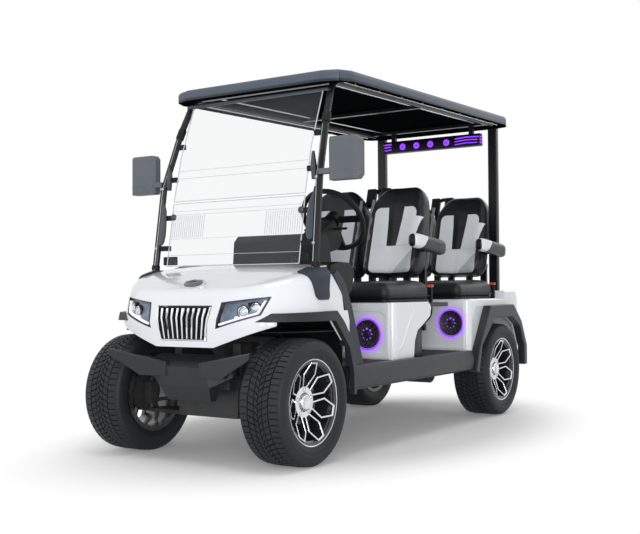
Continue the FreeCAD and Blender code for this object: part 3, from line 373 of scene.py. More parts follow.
def speckled(name, dark, light, spots, rough, coat=None, **constants):
    """Two tones in grain; rough and coat are each the least value, the grain's scale and the range above it."""
    made = Finish(name)
    made.set(Base_Color=made.blend(dark, light, made.grain(*spots)),
             Roughness=rough[0] + made.grain(rough[1]) * rough[2])
    if coat:
        made.set(Coat_Weight=coat[0] + made.grain(coat[1]) * coat[2])
    made.fixed(**constants)
    return made


def moulded(name, base, rough, grain=1400, depth=0.00022, shine=0.2):
    """A grained moulding, a little paler and drier in patches."""
    made = Finish(name)
    clouds = made.grain(6, 4, 0.6)
    made.set(Base_Color=made.blend(shade(base, 0.85), shade(base, 1.25), clouds),
             Roughness=rough - 0.06 + made.grain(30, 3) * 0.14)
    made.fixed(Specular_IOR_Level=shine)
    made.bump(made.cells(grain) + made.grain(grain / 3) * 0.6, depth)
    return made


def finish_roof():
    """Slate moulding, its lip painted charcoal along the lower edge as painted shade below a rounded top that reads as
    lit; its underside is black.
    """
    base = tone("roof")
    made = moulded("roof_moulding", base, 0.36, 900, 0.00015)
    x, y, height = made.axes()
    # the roof rises to the rear, so its lip is read on its own slope
    level = height - y * math.tan(ROOF_PITCH)
    recess = abs(x).under(0.5145) * y.band(-0.8145, 1.2935) * level.under(1.8795)
    under = level.under(1.8405, 0.0015).either(recess)
    upper = made.blend(shade(base, 0.95), shade(base, 1.25), made.grain(6, 4, 0.6))
    # painted shade: the lip falls to charcoal below its rounded top, so that the slate above it reads as the lit part
    # of a rounded edge
    sides = made.blend(upper, (0.030, 0.036, 0.042), level.under(1.853, 0.006))
    made.set(Base_Color=made.blend(sides, (0.004, 0.0045, 0.005), under), Coat_Weight=(1 - under) * 0.5)
    made.fixed(Specular_IOR_Level=0.0, Coat_Roughness=0.3)
    return made


def finish_chassis():
    """Black powder coat with road dust on it."""
    made = Finish("chassis_coat")
    dust = made.grain(9, 5, 0.65).over(0.56, 0.12)
    made.set(Base_Color=made.blend((0.016, 0.017, 0.019), (0.05, 0.048, 0.045), dust), Roughness=0.42 + dust * 0.3)
    made.bump(made.grain(900, 3), 0.0002)
    return made


def finish_casting():
    """Dark coated casting with a rough skin."""
    made = speckled("dark_casting", (0.03, 0.031, 0.034), (0.075, 0.072, 0.07), (24, 5, 0.6), (0.55, 60, 0.15),
                    Metallic=0.5)
    made.bump(made.grain(500, 4), 0.0004)
    return made


def finish_rubber():
    """Tyre rubber: matt black with a dry bloom."""
    made = Finish("tyre_rubber_skin")
    bloom = made.grain(14, 5, 0.6)
    base = tone("rubber")
    made.set(Base_Color=made.blend(base, shade(base, 2.1), bloom), Roughness=0.52 + bloom * 0.16)
    made.fixed(Specular_IOR_Level=0.36)
    made.bump(made.grain(700, 3), 0.00025)
    return made


def finish_mat():
    """Textured floor rubber with small raised studs."""
    made = Finish("floor_rubber_studs")
    x, y, _ = made.axes()
    stud = (((x + y) * 300).math("SINE") * ((x - y) * 300).math("SINE")).over(0.25, 0.15)
    made.set(Base_Color=made.blend((0.012, 0.013, 0.015), (0.035, 0.037, 0.04), stud), Roughness=0.72 - stud * 0.15)
    made.bump(stud + made.grain(600) * 0.2, 0.0016)
    return made


def finish_alloy_black():
    """Gloss black paint of the wheels' barrels and spoke sides."""
    made = speckled("alloy_black_paint", (0.008, 0.008, 0.009), (0.02, 0.02, 0.022), (20, 4), (0.22, 60, 0.1),
                    Coat_Weight=0.5)
    made.bump(made.grain(500), 0.00008)
    return made


def turned_metal(name, base, rough):
    """Bright metal with fine tool marks."""
    made = Finish(name)
    marks = made.grain(260, 2, 0.5, (6, 1, 1))
    made.set(Base_Color=made.blend(shade(base, 0.88), base, marks), Roughness=rough + marks * 0.12)
    made.fixed(Metallic=1)
    made.bump(marks, 0.00008)
    return made


def vinyl(name, base, rough):
    """Seat vinyl: leather grain, soft creases and rubbed shine."""
    made = Finish(name)
    worn = made.grain(7, 4, 0.6)
    made.set(Base_Color=made.blend(shade(base, 0.88), shade(base, 1.08), worn), Roughness=rough - 0.05 + worn * 0.16)
    made.fixed(Specular_IOR_Level=0.30)
    made.bump(made.leather() * 2.0 + made.grain(16, 2) * 2.5, 0.0005)
    return made


def finish_back_pad():
    """Backrest vinyl: light lobes round a dark strip, a light wing outside them, all on the dark shell; the panel's
    lower outer corner carries a painted shade.
    """
    base, pale = tone("pad_dark"), tone("pad_light")
    made = vinyl("vinyl_backrest", base, 0.32)
    x, y, height = made.axes()
    # the pattern is drawn on an upright backrest of the front row
    row = y.over(0.72)
    up = height - BACK_FOOT - row * ROW_RISE
    back = y - BACK_Y - row * ROW_STEP
    depth = back * math.cos(BACK_LEAN) - up * math.sin(BACK_LEAN)
    across = abs(x) - 0.011
    rise = (up * math.cos(BACK_LEAN) + back * math.sin(BACK_LEAN) - 0.003) * 0.945 + 0.020

    def corner(a, b, radius):
        """0 outside the round corner about (a, b), for the quarter that lies past it on both axes."""
        past_a = (across - a) * (1 if a > 0.2 else -1)
        past_b = (rise - b) * (1 if b > 0.2 else -1)
        return 1 - apart(past_a, past_b).over(radius) * past_a.over(0) * past_b.over(0)

    panel = across.band(0.058, 0.338) * rise.band(0.028, 0.408)
    for a, b, radius in ((0.094, 0.372, 0.036), (0.298, 0.368, 0.040), (0.078, 0.048, 0.020), (0.308, 0.058, 0.030)):
        panel = panel * corner(a, b, radius)
    below = 0.408 - rise
    strip = (across + below * -0.044).over(0.146) * (across + below * 0.142).under(0.252) * rise.over(0.182)
    wing = across.over(0.330) * (across + (0.349 - rise) * 0.25).under(0.374) * rise.band(0.19, 0.349)
    light = (panel * (1 - strip)).either(wing) * depth.under(0.050, 0.004)
    # painted shade: a triangle at the light panel's lower outer corner is painted darker, as a facet turned from the
    # light
    facet = (across - (rise - 0.032) * 1.02).over(0.215) * rise.under(0.155)
    seams = rise.band(0.1795, 0.1815) * (1 - strip)
    worn = made.grain(9, 4, 0.6)
    bright = made.blend(made.blend(shade(pale, 0.93), shade(pale, 1.04), worn), shade(pale, 0.62), facet)
    bright = made.blend(bright, shade(pale, 0.72), seams)
    made.set(Base_Color=made.blend(made.blend(shade(base, 0.9), shade(base, 1.3), worn), bright, light),
             Roughness=0.27 + light * 0.16 + worn * 0.12)
    made.bump(made.leather() * 0.5 + light * 1.4 - seams * 0.8 + made.grain(16, 2) * 1.5, 0.0012)
    return made


def finish_glass():
    """Clear pane with faint wipe marks."""
    made = Finish("clear_acrylic")
    made.set(Base_Color=made.blend((0.30, 0.34, 0.37), (0.36, 0.40, 0.43), made.grain(3, 2)),
             Roughness=0.02 + made.grain(12, 3) * 0.03, Alpha=0.045 + made.grain(2, 3) * 0.035)
    made.fixed(IOR=1.3)
    return made


def finish_reflector():
    """Blue-grey reflector of small facets."""
    made = Finish("lamp_reflector")
    cell = made.cells(170)
    made.set(Base_Color=made.blend((0.07, 0.10, 0.15), (0.24, 0.31, 0.40), made.grain(60, 3)),
             Roughness=0.22 + cell * 0.2, Coat_Weight=0.3 + cell * 0.1)
    made.fixed(Metallic=0.35)
    made.bump(cell, 0.002)
    return made


def lit(name, base, strength):
    """A part that glows, a little uneven over its length: the light of a lamp, or on the buckle buttons a painted glow.
    """
    made = Finish(name)
    patch = made.grain(60, 2)
    made.set(Base_Color=made.blend(shade(base, 0.8), base, patch), Roughness=0.3 + patch * 0.1,
             Emission_Color=made.blend(shade(base, 0.75), base, patch))
    made.fixed(Emission_Strength=strength)
    return made


def finish_red():
    """Red lens with fine ribs."""
    made = lit("red_lens_ribs", (0.42, 0.012, 0.012), 0.06)
    height = made.axes()[2]
    made.fixed(Coat_Weight=0.8)
    made.bump((height * 900).math("SINE"), 0.0006)
    return made


def finish_cone():
    """Speaker cone: matt black with fine rings."""
    made = speckled("speaker_cone", (0.008, 0.008, 0.01), (0.025, 0.025, 0.03), (200, 2), (0.42, 90, 0.15))
    made.bump(made.cells(900), 0.0003)
    return made


def finish_webbing():
    """Woven belt."""
    made = Finish("belt_weave")
    x, _, height = made.axes()
    weave = (x * 2600).math("SINE") * (height * 2600).math("SINE")
    made.set(Base_Color=made.blend((0.20, 0.21, 0.23), (0.36, 0.37, 0.39), weave.over(0, 0.6)),
             Roughness=0.6 + made.grain(200) * 0.15)
    made.bump(weave, 0.0005)
    return made


def arm_pad(name, sign):
    """Armrest vinyl: a black cap inside the tip, a light band round the front end, dark grey behind it."""
    side, pale, black = (0.015, 0.020, 0.026), tone("pad_light"), tone("pad_dark")
    made = vinyl(name, black, 0.34)
    x, y, height = made.axes()
    row = y.over(0.60)
    along = y - 0.318 - row * ROW_STEP
    behind_tip = along + 0.345
    up = height - 1.042 - row * ROW_RISE + along * 0.0963
    edge = behind_tip - up
    tip = behind_tip + (x * sign - 0.495) * 0.75
    light = edge.under(0.112, 0.001)
    cap = tip.under(0.012, 0.001)
    seam = edge.band(0.1105, 0.1135).either(tip.band(0.0105, 0.0135))
    worn = made.grain(9, 4, 0.6)
    skin = made.blend(made.blend(shade(side, 0.85), shade(side, 1.15), worn),
                      made.blend(shade(pale, 0.93), shade(pale, 1.04), worn), light)
    made.set(Base_Color=made.blend(skin, black, cap.either(seam)))
    made.bump(made.leather() * 0.5 - seam * 1.2, 0.0012)
    return made


# the finishes that are a kind with its own name, colour and roughness; the others have a function each
FINISHES = {
    "charcoal": lambda: moulded("charcoal_moulding", tone("charcoal"), 0.36, shine=0.3),
    "trim": lambda: moulded("trim_moulding", tone("trim"), 0.42),
    "black": lambda: moulded("black_moulding", tone("black"), 0.42),
    "tube": lambda: moulded("tube_coat", tone("black"), 0.30, 2200, 0.0001, 0.3),
    "post": lambda: moulded("post_coat", (0.030, 0.040, 0.054), 0.30, 2200, 0.0001, 0.6),
    "mirror_shell": lambda: moulded("mirror_shell", (0.125, 0.140, 0.158), 0.50),
    "violet": lambda: moulded("violet_black", (0.010, 0.004, 0.026), 0.4),
    "alloy_face": lambda: turned_metal("alloy_machined", (0.80, 0.81, 0.83), 0.20),
    "chrome": lambda: turned_metal("bright_plate", (0.86, 0.87, 0.90), 0.07),
    "steel": lambda: turned_metal("bare_steel", (0.42, 0.43, 0.45), 0.32),
    "mirror_glass": lambda: turned_metal("mirror_glass", (0.62, 0.66, 0.70), 0.03),
    "light_bar": lambda: lit("lamp_light_bar", (0.93, 0.95, 1.0), 0.55),
    "glow": lambda: lit("purple_glow", tone("glow"), 0.95),
    # the buckle buttons are no lamps: their faint red glow is painted
    "button": lambda: lit("red_button", (0.62, 0.09, 0.05), 0.08),
    "lens": lambda: speckled("lamp_lens_glass", (0.35, 0.42, 0.50), (0.80, 0.85, 0.92), (70, 2), (0.06, 50, 0.04),
                             (0.9, 20, 0.1), Metallic=0.6),
    "badge": lambda: speckled("badge_enamel", (0.030, 0.034, 0.045), (0.060, 0.062, 0.075), (120, 3), (0.2, 60, 0.1),
                              (0.6, 30, 0.2)),
    # pane edges: pale, a painted highlight of the light that the clear acrylic's edges catch
    "pane_edge": lambda: speckled("pane_edge_light", (0.42, 0.47, 0.52), (0.78, 0.82, 0.86), (60, 3), (0.25, 90, 0.1)),
    "pad_dark": lambda: vinyl("vinyl_black", tone("pad_dark"), 0.27),
    "arm_pad_left": lambda: arm_pad("vinyl_arm_left", 1),
    "arm_pad_right": lambda: arm_pad("vinyl_arm_right", -1),
}
READY = {}


def finish(name):
    """The material of a finish, made when it is first asked for."""
    if name not in READY:
        made = FINISHES.get(name) or globals()["finish_" + name]
        READY[name] = made().material
    return READY[name]


# Shapes

class Shape:
    """Points and faces that are being put together, in metres."""

    def __init__(self, points=(), faces=()):
        self.points = [Vector(p) for p in points]
        self.faces = [tuple(f) for f in faces]

    def __add__(self, other):
        shift = len(self.points)
        return Shape(self.points + other.points, self.faces + [tuple(i + shift for i in f) for f in other.faces])

    def mapped(self, place):
        return Shape([place(p) for p in self.points], self.faces)

    def moved(self, x=0, y=0, height=0):
        step = Vector((x, y, height))
        return self.mapped(lambda p: p + step)

    def turned(self, degrees, axis, about=(0, 0, 0)):
        turn = Matrix.Rotation(math.radians(degrees), 3, axis)
        centre = Vector(about)
        return self.mapped(lambda p: centre + turn @ (p - centre))

    def mirrored(self):
        flipped = self.mapped(lambda p: Vector((-p.x, p.y, p.z)))
        flipped.faces = [f[::-1] for f in flipped.faces]
        return flipped

    def both(self):
        return self + self.mirrored()


def total(shapes):
    whole = Shape()
    for shape in shapes:
        whole = whole + shape
    return whole


def prism(outline, axis, low, high):
    """A closed prism over an outline in the plane across the axis."""
    spot = {"x": lambda a, b, c: (c, a, b), "y": lambda a, b, c: (a, c, b), "z": lambda a, b, c: (a, b, c)}[axis]
    count = len(outline)
    points = [spot(a, b, c) for c in (low, high) for a, b in outline]
    sides = [(n, (n + 1) % count, count + (n + 1) % count, count + n) for n in range(count)]
    return Shape(points, [tuple(range(count))[::-1], tuple(range(count, 2 * count))] + sides)


def oblong(left, low, right, high):
    """The corners of a rectangle."""
    return [(left, low), (right, low), (right, high), (left, high)]


def block(low, high):
    return prism(oblong(low[0], low[1], high[0], high[1]), "z", low[2], high[2])


def ring(profile, steps=64, start=0.0, sweep=360.0):
    """A closed (x, radius) outline carried round the X axis."""
    full = sweep > 359
    turns = steps if full else steps + 1
    count = len(profile)
    points = []
    for n in range(turns):
        angle = math.radians(start + sweep * n / steps)
        points += [(x, r * math.cos(angle), r * math.sin(angle)) for x, r in profile]
    faces = []
    for n in range(steps):
        here, there = n * count, (n + 1) % turns * count
        for k in range(count):
            m = (k + 1) % count
            faces.append((here + k, here + m, there + m, there + k))
    if not full:
        faces += [tuple(range(count)), tuple(range((turns - 1) * count, turns * count))[::-1]]
    return Shape(points, faces)


def tube(path, radius, sides=12, closed=False):
    """A round bar along a line of points."""
    path = [Vector(p) for p in path]
    count = len(path)
    points, faces = [], []
    side = None
    for n, spot in enumerate(path):
        ahead = path[(n + 1) % count] if closed or n < count - 1 else spot
        behind = path[n - 1] if closed or n > 0 else spot
        way = (ahead - behind).normalized()
        if side is None:
            side = way.cross(Vector((0, 0, 1)))
            side = side if side.length > 0.1 else way.cross(Vector((1, 0, 0)))
        side = (side - way * side.dot(way)).normalized()
        up = side.cross(way)
        into = (spot - behind).normalized() if spot != behind else way
        stretch = 1 / max(0.5, abs(into.dot(way)))
        for k in range(sides):
            angle = 2 * math.pi * k / sides
            points.append(spot + (side * math.cos(angle) + up * math.sin(angle)) * radius * stretch)
    for n in range(count if closed else count - 1):
        here, there = n * sides, (n + 1) % count * sides
        faces += [(here + k, here + (k + 1) % sides, there + (k + 1) % sides, there + k) for k in range(sides)]
    if not closed:
        faces += [tuple(range(sides))[::-1], tuple(range((count - 1) * sides, count * sides))]
    return Shape(points, faces)


def flowing(spots, per):
    """A smooth open line through a few points, with some steps between each two."""
    spots = [Vector(p) for p in spots]
    last = len(spots) - 1
    line = []
    for n in range(last):
        a, b, c, d = (spots[max(0, min(last, k))] for k in range(n - 1, n + 3))
        for step in range(per):
            t = step / per
            line.append(0.5 * ((2 * b) + (c - a) * t + (2 * a - 5 * b + 4 * c - d) * t * t
                               + (3 * b - a - 3 * c + d) * t ** 3))
    return line + [spots[-1]]


def rounded(corners, radius, steps=4):
    """An outline with its corners rounded."""
    spots = [Vector(c) for c in corners]
    line = []
    for n, corner in enumerate(spots):
        before, after = spots[n - 1], spots[(n + 1) % len(spots)]
        into, out = corner - before, after - corner
        reach = min(radius, into.length * 0.48, out.length * 0.48)
        a, b = corner - into.normalized() * reach, corner + out.normalized() * reach
        for k in range(steps + 1):
            t = k / steps
            line.append(tuple(a * (1 - t) ** 2 + corner * 2 * t * (1 - t) + b * t * t))
    return line


def strip(outer, inner, axis, low, high):
    """A closed frame between two outlines with the same number of points."""
    count = len(outer)
    parts = Shape()
    for n in range(count):
        m = (n + 1) % count
        parts += prism([outer[n], outer[m], inner[m], inner[n]], axis, low, high)
    # the walls between neighbouring quads stand inside and are dropped
    return Shape(parts.points, [f for n, f in enumerate(parts.faces) if n % 6 not in (3, 5)])


def dome(radius, high, sides=12):
    """A low screw head on the X axis, standing towards -X."""
    profile = [(0.001, 0.0001), (0.001, radius), (-high * 0.6, radius), (-high, radius * 0.55), (-high, 0.0001)]
    return ring(profile, sides)


def mesh_of(name, shape):
    """A shape as a mesh, its doubled points merged and its faces turned outwards."""
    mesh = bpy.data.meshes.new(name)
    mesh.from_pydata(shape.points, [], shape.faces)
    form = bmesh.new()
    form.from_mesh(mesh)
    bmesh.ops.remove_doubles(form, verts=form.verts, dist=1e-5)
    bmesh.ops.recalc_face_normals(form, faces=form.faces)
    form.to_mesh(mesh)
    form.free()
    return mesh


def taken_in(piece):
    """Turns a piece's modifiers into its plain mesh."""
    graph = bpy.context.evaluated_depsgraph_get()
    mesh = bpy.data.meshes.new_from_object(piece.evaluated_get(graph))
    piece.modifiers.clear()
    mesh.name = piece.name
    piece.data = mesh
    return mesh


def settled(piece, angle, weigh):
    """Takes the modifiers in and smooths all but the sharp edges; weighed, flat faces stay flat beside round ones."""
    mesh = taken_in(piece)
    mesh.polygons.foreach_set("use_smooth", [True] * len(mesh.polygons))
    mesh.set_sharp_from_angle(angle=math.radians(angle))
    if weigh:
        even = piece.modifiers.new("Even", "WEIGHTED_NORMAL")
        even.keep_sharp = True
        taken_in(piece)


def add_piece(name, mesh, look, body="cart", slot=None, replaces=(), bevel=0, segments=2, angle=32, weigh=False):
    """Puts a finished mesh in the scene, on its body, with its material."""
    piece = bpy.data.objects.new(name, mesh)
    bpy.context.collection.objects.link(piece)
    mesh.materials.clear()
    mesh.materials.append(finish(look))
    if bevel:
        round_off = piece.modifiers.new("Round", "BEVEL")
        round_off.width = bevel
        round_off.segments = segments
        round_off.limit_method = "ANGLE"
        round_off.angle_limit = math.radians(28)
        round_off.use_clamp_overlap = True
    settled(piece, angle, weigh)
    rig.ride(piece, body)
    if slot:
        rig.slot(piece, slot)
    if replaces:
        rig.replaces(piece, *replaces)
    return piece


def make(name, shape, look, **settings):
    return add_piece(name, mesh_of(name, shape), look, **settings)


def solid_copy(node, flat):
    """The CAD node's mesh as one merged form, its faces made whole where they are flat to within an angle."""
    mesh = NODES[node].data.copy()
    form = bmesh.new()
    form.from_mesh(mesh)
    bmesh.ops.remove_doubles(form, verts=form.verts, dist=2e-5)
    if flat:
        bmesh.ops.dissolve_limit(form, angle_limit=math.radians(flat), verts=form.verts, edges=form.edges)
    form.to_mesh(mesh)
    form.free()
    return mesh


def dress(node, look, bevel=None, flat=0.2, **settings):
    """A CAD node with its edges rounded and its curves smooth."""
    width = sizes().edge_round if bevel is None else bevel
    return add_piece(node + "_finished", solid_copy(node, flat), look, replaces=(node,), bevel=width, weigh=True,
                     **settings)


def paint(node, name, slot=None):
    """A CAD node that stays, with a finish."""
    data = NODES[node].data
    data.materials.clear()
    data.materials.append(finish(name))
    if slot:
        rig.slot(NODES[node], slot)


# Geometry Nodes

class Tree:
    """A node group that is put together in code and run once."""

    def __init__(self, name, inputs):
        self.group = bpy.data.node_groups.new(name, "GeometryNodeTree")
        face = self.group.interface
        face.new_socket("Geometry", in_out="INPUT", socket_type="NodeSocketGeometry")
        face.new_socket("Geometry", in_out="OUTPUT", socket_type="NodeSocketGeometry")
        self.values = {}
        for label, (kind, value) in inputs.items():
            socket = face.new_socket(label, in_out="INPUT", socket_type=kind)
            self.values[socket.identifier] = value
        self.given = self.group.nodes.new("NodeGroupInput")
        self.result = self.group.nodes.new("NodeGroupOutput")

    def node(self, kind, settings=None, links=None):
        node = self.group.nodes.new(kind)
        for name, value in (settings or {}).items():
            setattr(node, name, value)
        for name, value in (links or {}).items():
            slot = node.inputs[name]
            if isinstance(value, bpy.types.NodeSocket):
                self.group.links.new(value, slot)
            else:
                slot.default_value = value
        return node

    def run(self, geometry, material, piece):
        real = self.node("GeometryNodeRealizeInstances", None, {"Geometry": geometry})
        painted = self.node("GeometryNodeSetMaterial", None, {"Geometry": real.outputs[0]})
        painted.inputs["Material"].default_value = material
        self.group.links.new(painted.outputs[0], self.result.inputs[0])
        worker = piece.modifiers.new("Repeat", "NODES")
        worker.node_group = self.group
        for identifier, value in self.values.items():
            worker[identifier] = value
        graph = bpy.context.evaluated_depsgraph_get()
        mesh = bpy.data.meshes.new_from_object(piece.evaluated_get(graph))
        piece.modifiers.remove(worker)
        return mesh


def around_x(source, count, material, name):
    """Repeats a mesh evenly about the X axis and returns one plain mesh."""
    holder = bpy.data.objects.new(name + "_holder", source)
    bpy.context.collection.objects.link(holder)
    tree = Tree(name, {"Count": ("NodeSocketInt", count), "Step": ("NodeSocketFloat", 2 * math.pi / count)})
    points = tree.node("GeometryNodePoints", None, {"Count": tree.given.outputs["Count"]})
    index = tree.node("GeometryNodeInputIndex")
    angle = tree.node("ShaderNodeMath", {"operation": "MULTIPLY"}, {0: index.outputs[0], 1: tree.given.outputs["Step"]})
    turn = tree.node("ShaderNodeCombineXYZ", None, {"X": angle.outputs[0]})
    copies = tree.node("GeometryNodeInstanceOnPoints", None, {
        "Points": points.outputs[0], "Instance": tree.given.outputs["Geometry"], "Rotation": turn.outputs[0]})
    mesh = tree.run(copies.outputs[0], material, holder)
    bpy.data.objects.remove(holder)
    return mesh


def at_spots(source, spots, turns, material, name):
    """Repeats a mesh at given points, each with its own turn, and returns one plain mesh."""
    carrier = bpy.data.meshes.new(name + "_spots")
    carrier.from_pydata(spots, [], [])
    turn = carrier.attributes.new("turn", "FLOAT_VECTOR", "POINT")
    turn.data.foreach_set("vector", [c for t in turns for c in t])
    holder = bpy.data.objects.new(name + "_holder", carrier)
    pattern = bpy.data.objects.new(name + "_pattern", source)
    bpy.context.collection.objects.link(holder)
    bpy.context.collection.objects.link(pattern)
    tree = Tree(name, {"Scale": ("NodeSocketFloat", 1.0)})
    given = tree.node("GeometryNodeObjectInfo")
    given.inputs["Object"].default_value = pattern
    named = tree.node("GeometryNodeInputNamedAttribute", {"data_type": "FLOAT_VECTOR"}, {"Name": "turn"})
    size = tree.node("ShaderNodeCombineXYZ", None, {axis: tree.given.outputs["Scale"] for axis in "XYZ"})
    copies = tree.node("GeometryNodeInstanceOnPoints", None, {
        "Points": tree.given.outputs["Geometry"], "Instance": given.outputs["Geometry"],
        "Rotation": named.outputs["Attribute"], "Scale": size.outputs[0]})
    mesh = tree.run(copies.outputs[0], material, holder)
    bpy.data.objects.remove(holder)
    bpy.data.objects.remove(pattern)
    return mesh


# Wheels

# how far the rim's lip and the hub's face stand out from the wheel's middle
LIP = 0.102
HUB_FACE = 0.050
SPOKES, SPOKE_START = 7, -17
NUTS, NUT_START, NUT_CIRCLE = 5, 20, 0.0562


def wheel_place(wheel):
    """From a wheel drawn about the X axis, its outer side to +X, to its place on the cart."""
    low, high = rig.box("tyre_" + wheel)
    turn = Matrix.Rotation(math.pi if WHEELS[wheel] < 0 else 0, 4, "Z")
    return Matrix.Translation((low + high) / 2) @ turn


TYRE_RADIUS, TREAD_TOP, TREAD_CHAMFER = 0.29, 0.2899, 0.0012
# past this half width the tread falls away to the shoulder, at this slope
SHOULDER, SHOULDER_FALL = 0.092, 1.05


def tread_block(outline, groove):
    """A tread block: its (along, across) outline rises from the groove with a small chamfer."""
    middle = Vector((sum(a for a, b in outline), sum(b for a, b in outline))) / len(outline)
    levels = [(0, groove), (0, TREAD_TOP - TREAD_CHAMFER), (1, TREAD_TOP)]
    points = []
    for shrink, radius in levels:
        for a, b in outline:
            away = Vector((a, b)) - middle
            a, b = middle + away * (1 - shrink * TREAD_CHAMFER / max(0.004, away.length))
            r = radius - max(0, abs(b) - SHOULDER) * SHOULDER_FALL
            points.append((b, r * math.sin(a / TREAD_TOP), r * math.cos(a / TREAD_TOP)))
    count = len(outline)
    faces = [tuple(range(2 * count, 3 * count))]
    for level in range(2):
        faces += [(level * count + n, level * count + (n + 1) % count, (level + 1) * count + (n + 1) % count,
                   (level + 1) * count + n) for n in range(count)]
    return Shape(points, faces + [tuple(range(count))[::-1]])


def tread_shape(groove):
    """One pitch of the road tread: centre chevrons, slanted middle blocks and long shoulder blocks."""
    p = 2 * math.pi * TYRE_RADIUS / sizes().tread_pitches
    blocks = []
    for side in (1, -1):
        shift = 0 if side > 0 else p * 0.5
        for outline in (
            [(0.02, 0.002), (0.62, 0.020), (1.32, 0.020), (0.76, 0.002)],
            [(0.50, 0.0245), (0.92, 0.052), (1.70, 0.052), (1.28, 0.0245)],
            [(0.10, 0.0575), (0.10, 0.096), (0.30, 0.1105), (1.04, 0.1105), (0.94, 0.096), (0.94, 0.0575)],
        ):
            corners = [(a * p + shift, side * b) for a, b in outline]
            blocks.append(tread_block(corners, groove))
    return total(blocks)


TYRE_SIDE = [(0.094, 0.178), (0.1005, 0.196), (0.104, 0.203), (0.110, 0.214), (0.1125, 0.219), (0.1128, 0.222),
             (0.1158, 0.232), (0.1172, 0.242), (0.1168, 0.251), (0.1150, 0.2545), (0.1152, 0.2585), (0.1125, 0.267),
             (0.1085, 0.2735), (0.1020, 0.2785), (0.0955, 0.2810)]


class CART_OT_tyres(bpy.types.Operator):
    """Tyre carcasses with bulged sidewalls, and the road tread round each"""
    bl_idname = "cart.tyres"
    bl_label = "Tyres"

    def execute(self, context):
        groove = sizes().groove_radius
        side = TYRE_SIDE + [(0.060, groove), (0.020, groove)]
        carcass = ring(side + [(-x, r) for x, r in side[::-1]], 120)
        ribs = total([ring([(0.1148, 0.2235), (0.1166, 0.2345), (0.1130, 0.2345)], 2, 360 * n / 90, 1.6)
                      for n in range(90)])
        tread = around_x(mesh_of("tread_pitch", tread_shape(groove - 0.004)), sizes().tread_pitches, finish("rubber"),
                         "Tread")
        for wheel in WHEELS:
            body = "wheel_" + wheel
            tyre = mesh_of("tyre", carcass + ribs + ribs.mirrored())
            tyre.transform(wheel_place(wheel))
            add_piece(f"tyre_{wheel}_carcass", tyre, "rubber", body=body, slot="tyre_rubber",
                      replaces=("tyre_" + wheel,), angle=40)
            blocks = tread.copy()
            blocks.transform(wheel_place(wheel))
            add_piece(f"tyre_{wheel}_tread", blocks, "rubber", body=body, slot="tyre_rubber", angle=30)
        return {"FINISHED"}


HUB_RADIUS, DISH_RADIUS = 0.071, 0.182
FORK = [(0.0665, 0.0135), (0.124, 0.0445), (0.177, 0.0225)]


def dish(radius):
    """How far out the wheel's centre stands at a radius."""
    t = max(0, min(1, (radius - HUB_RADIUS) / (DISH_RADIUS - HUB_RADIUS)))
    return HUB_FACE + (LIP - 0.002 - HUB_FACE) * t


def fork_line():
    """A spoke's loop seen from outside: up one side, across the tip and back."""
    half = [Vector((r, w)) for r, w in FORK]
    return half + [Vector((p.x, -p.y)) for p in half[::-1]]


def ribbon(line, rows):
    """A mitred strip along a flat line; rows are (half-width, depth below the dish)."""
    points, faces = [], []
    for n, spot in enumerate(line):
        ways = []
        if n > 0:
            ways.append((spot - line[n - 1]).normalized())
        if n < len(line) - 1:
            ways.append((line[n + 1] - spot).normalized())
        normals = [Vector((-w.y, w.x)) for w in ways]
        across = sum(normals, Vector((0, 0))).normalized()
        across = across / across.dot(normals[0])
        for side in (1, -1):
            for half, deep in rows if side > 0 else rows[::-1]:
                flat = spot + across * half * side
                points.append((dish(flat.x) - deep, flat.x, flat.y))
    count = 2 * len(rows)
    for n in range(len(line) - 1):
        here, there = n * count, (n + 1) * count
        faces += [(here + k, here + (k + 1) % count, there + (k + 1) % count, there + k) for k in range(count)]
    faces += [tuple(range(count))[::-1], tuple(range((len(line) - 1) * count, len(line) * count))]
    return Shape(points, faces)


def wheel_round(shape, count=SPOKES, start=SPOKE_START):
    """A shape repeated evenly about the wheel's axis."""
    return total([shape.turned(start + 360 * n / count, "X") for n in range(count)])


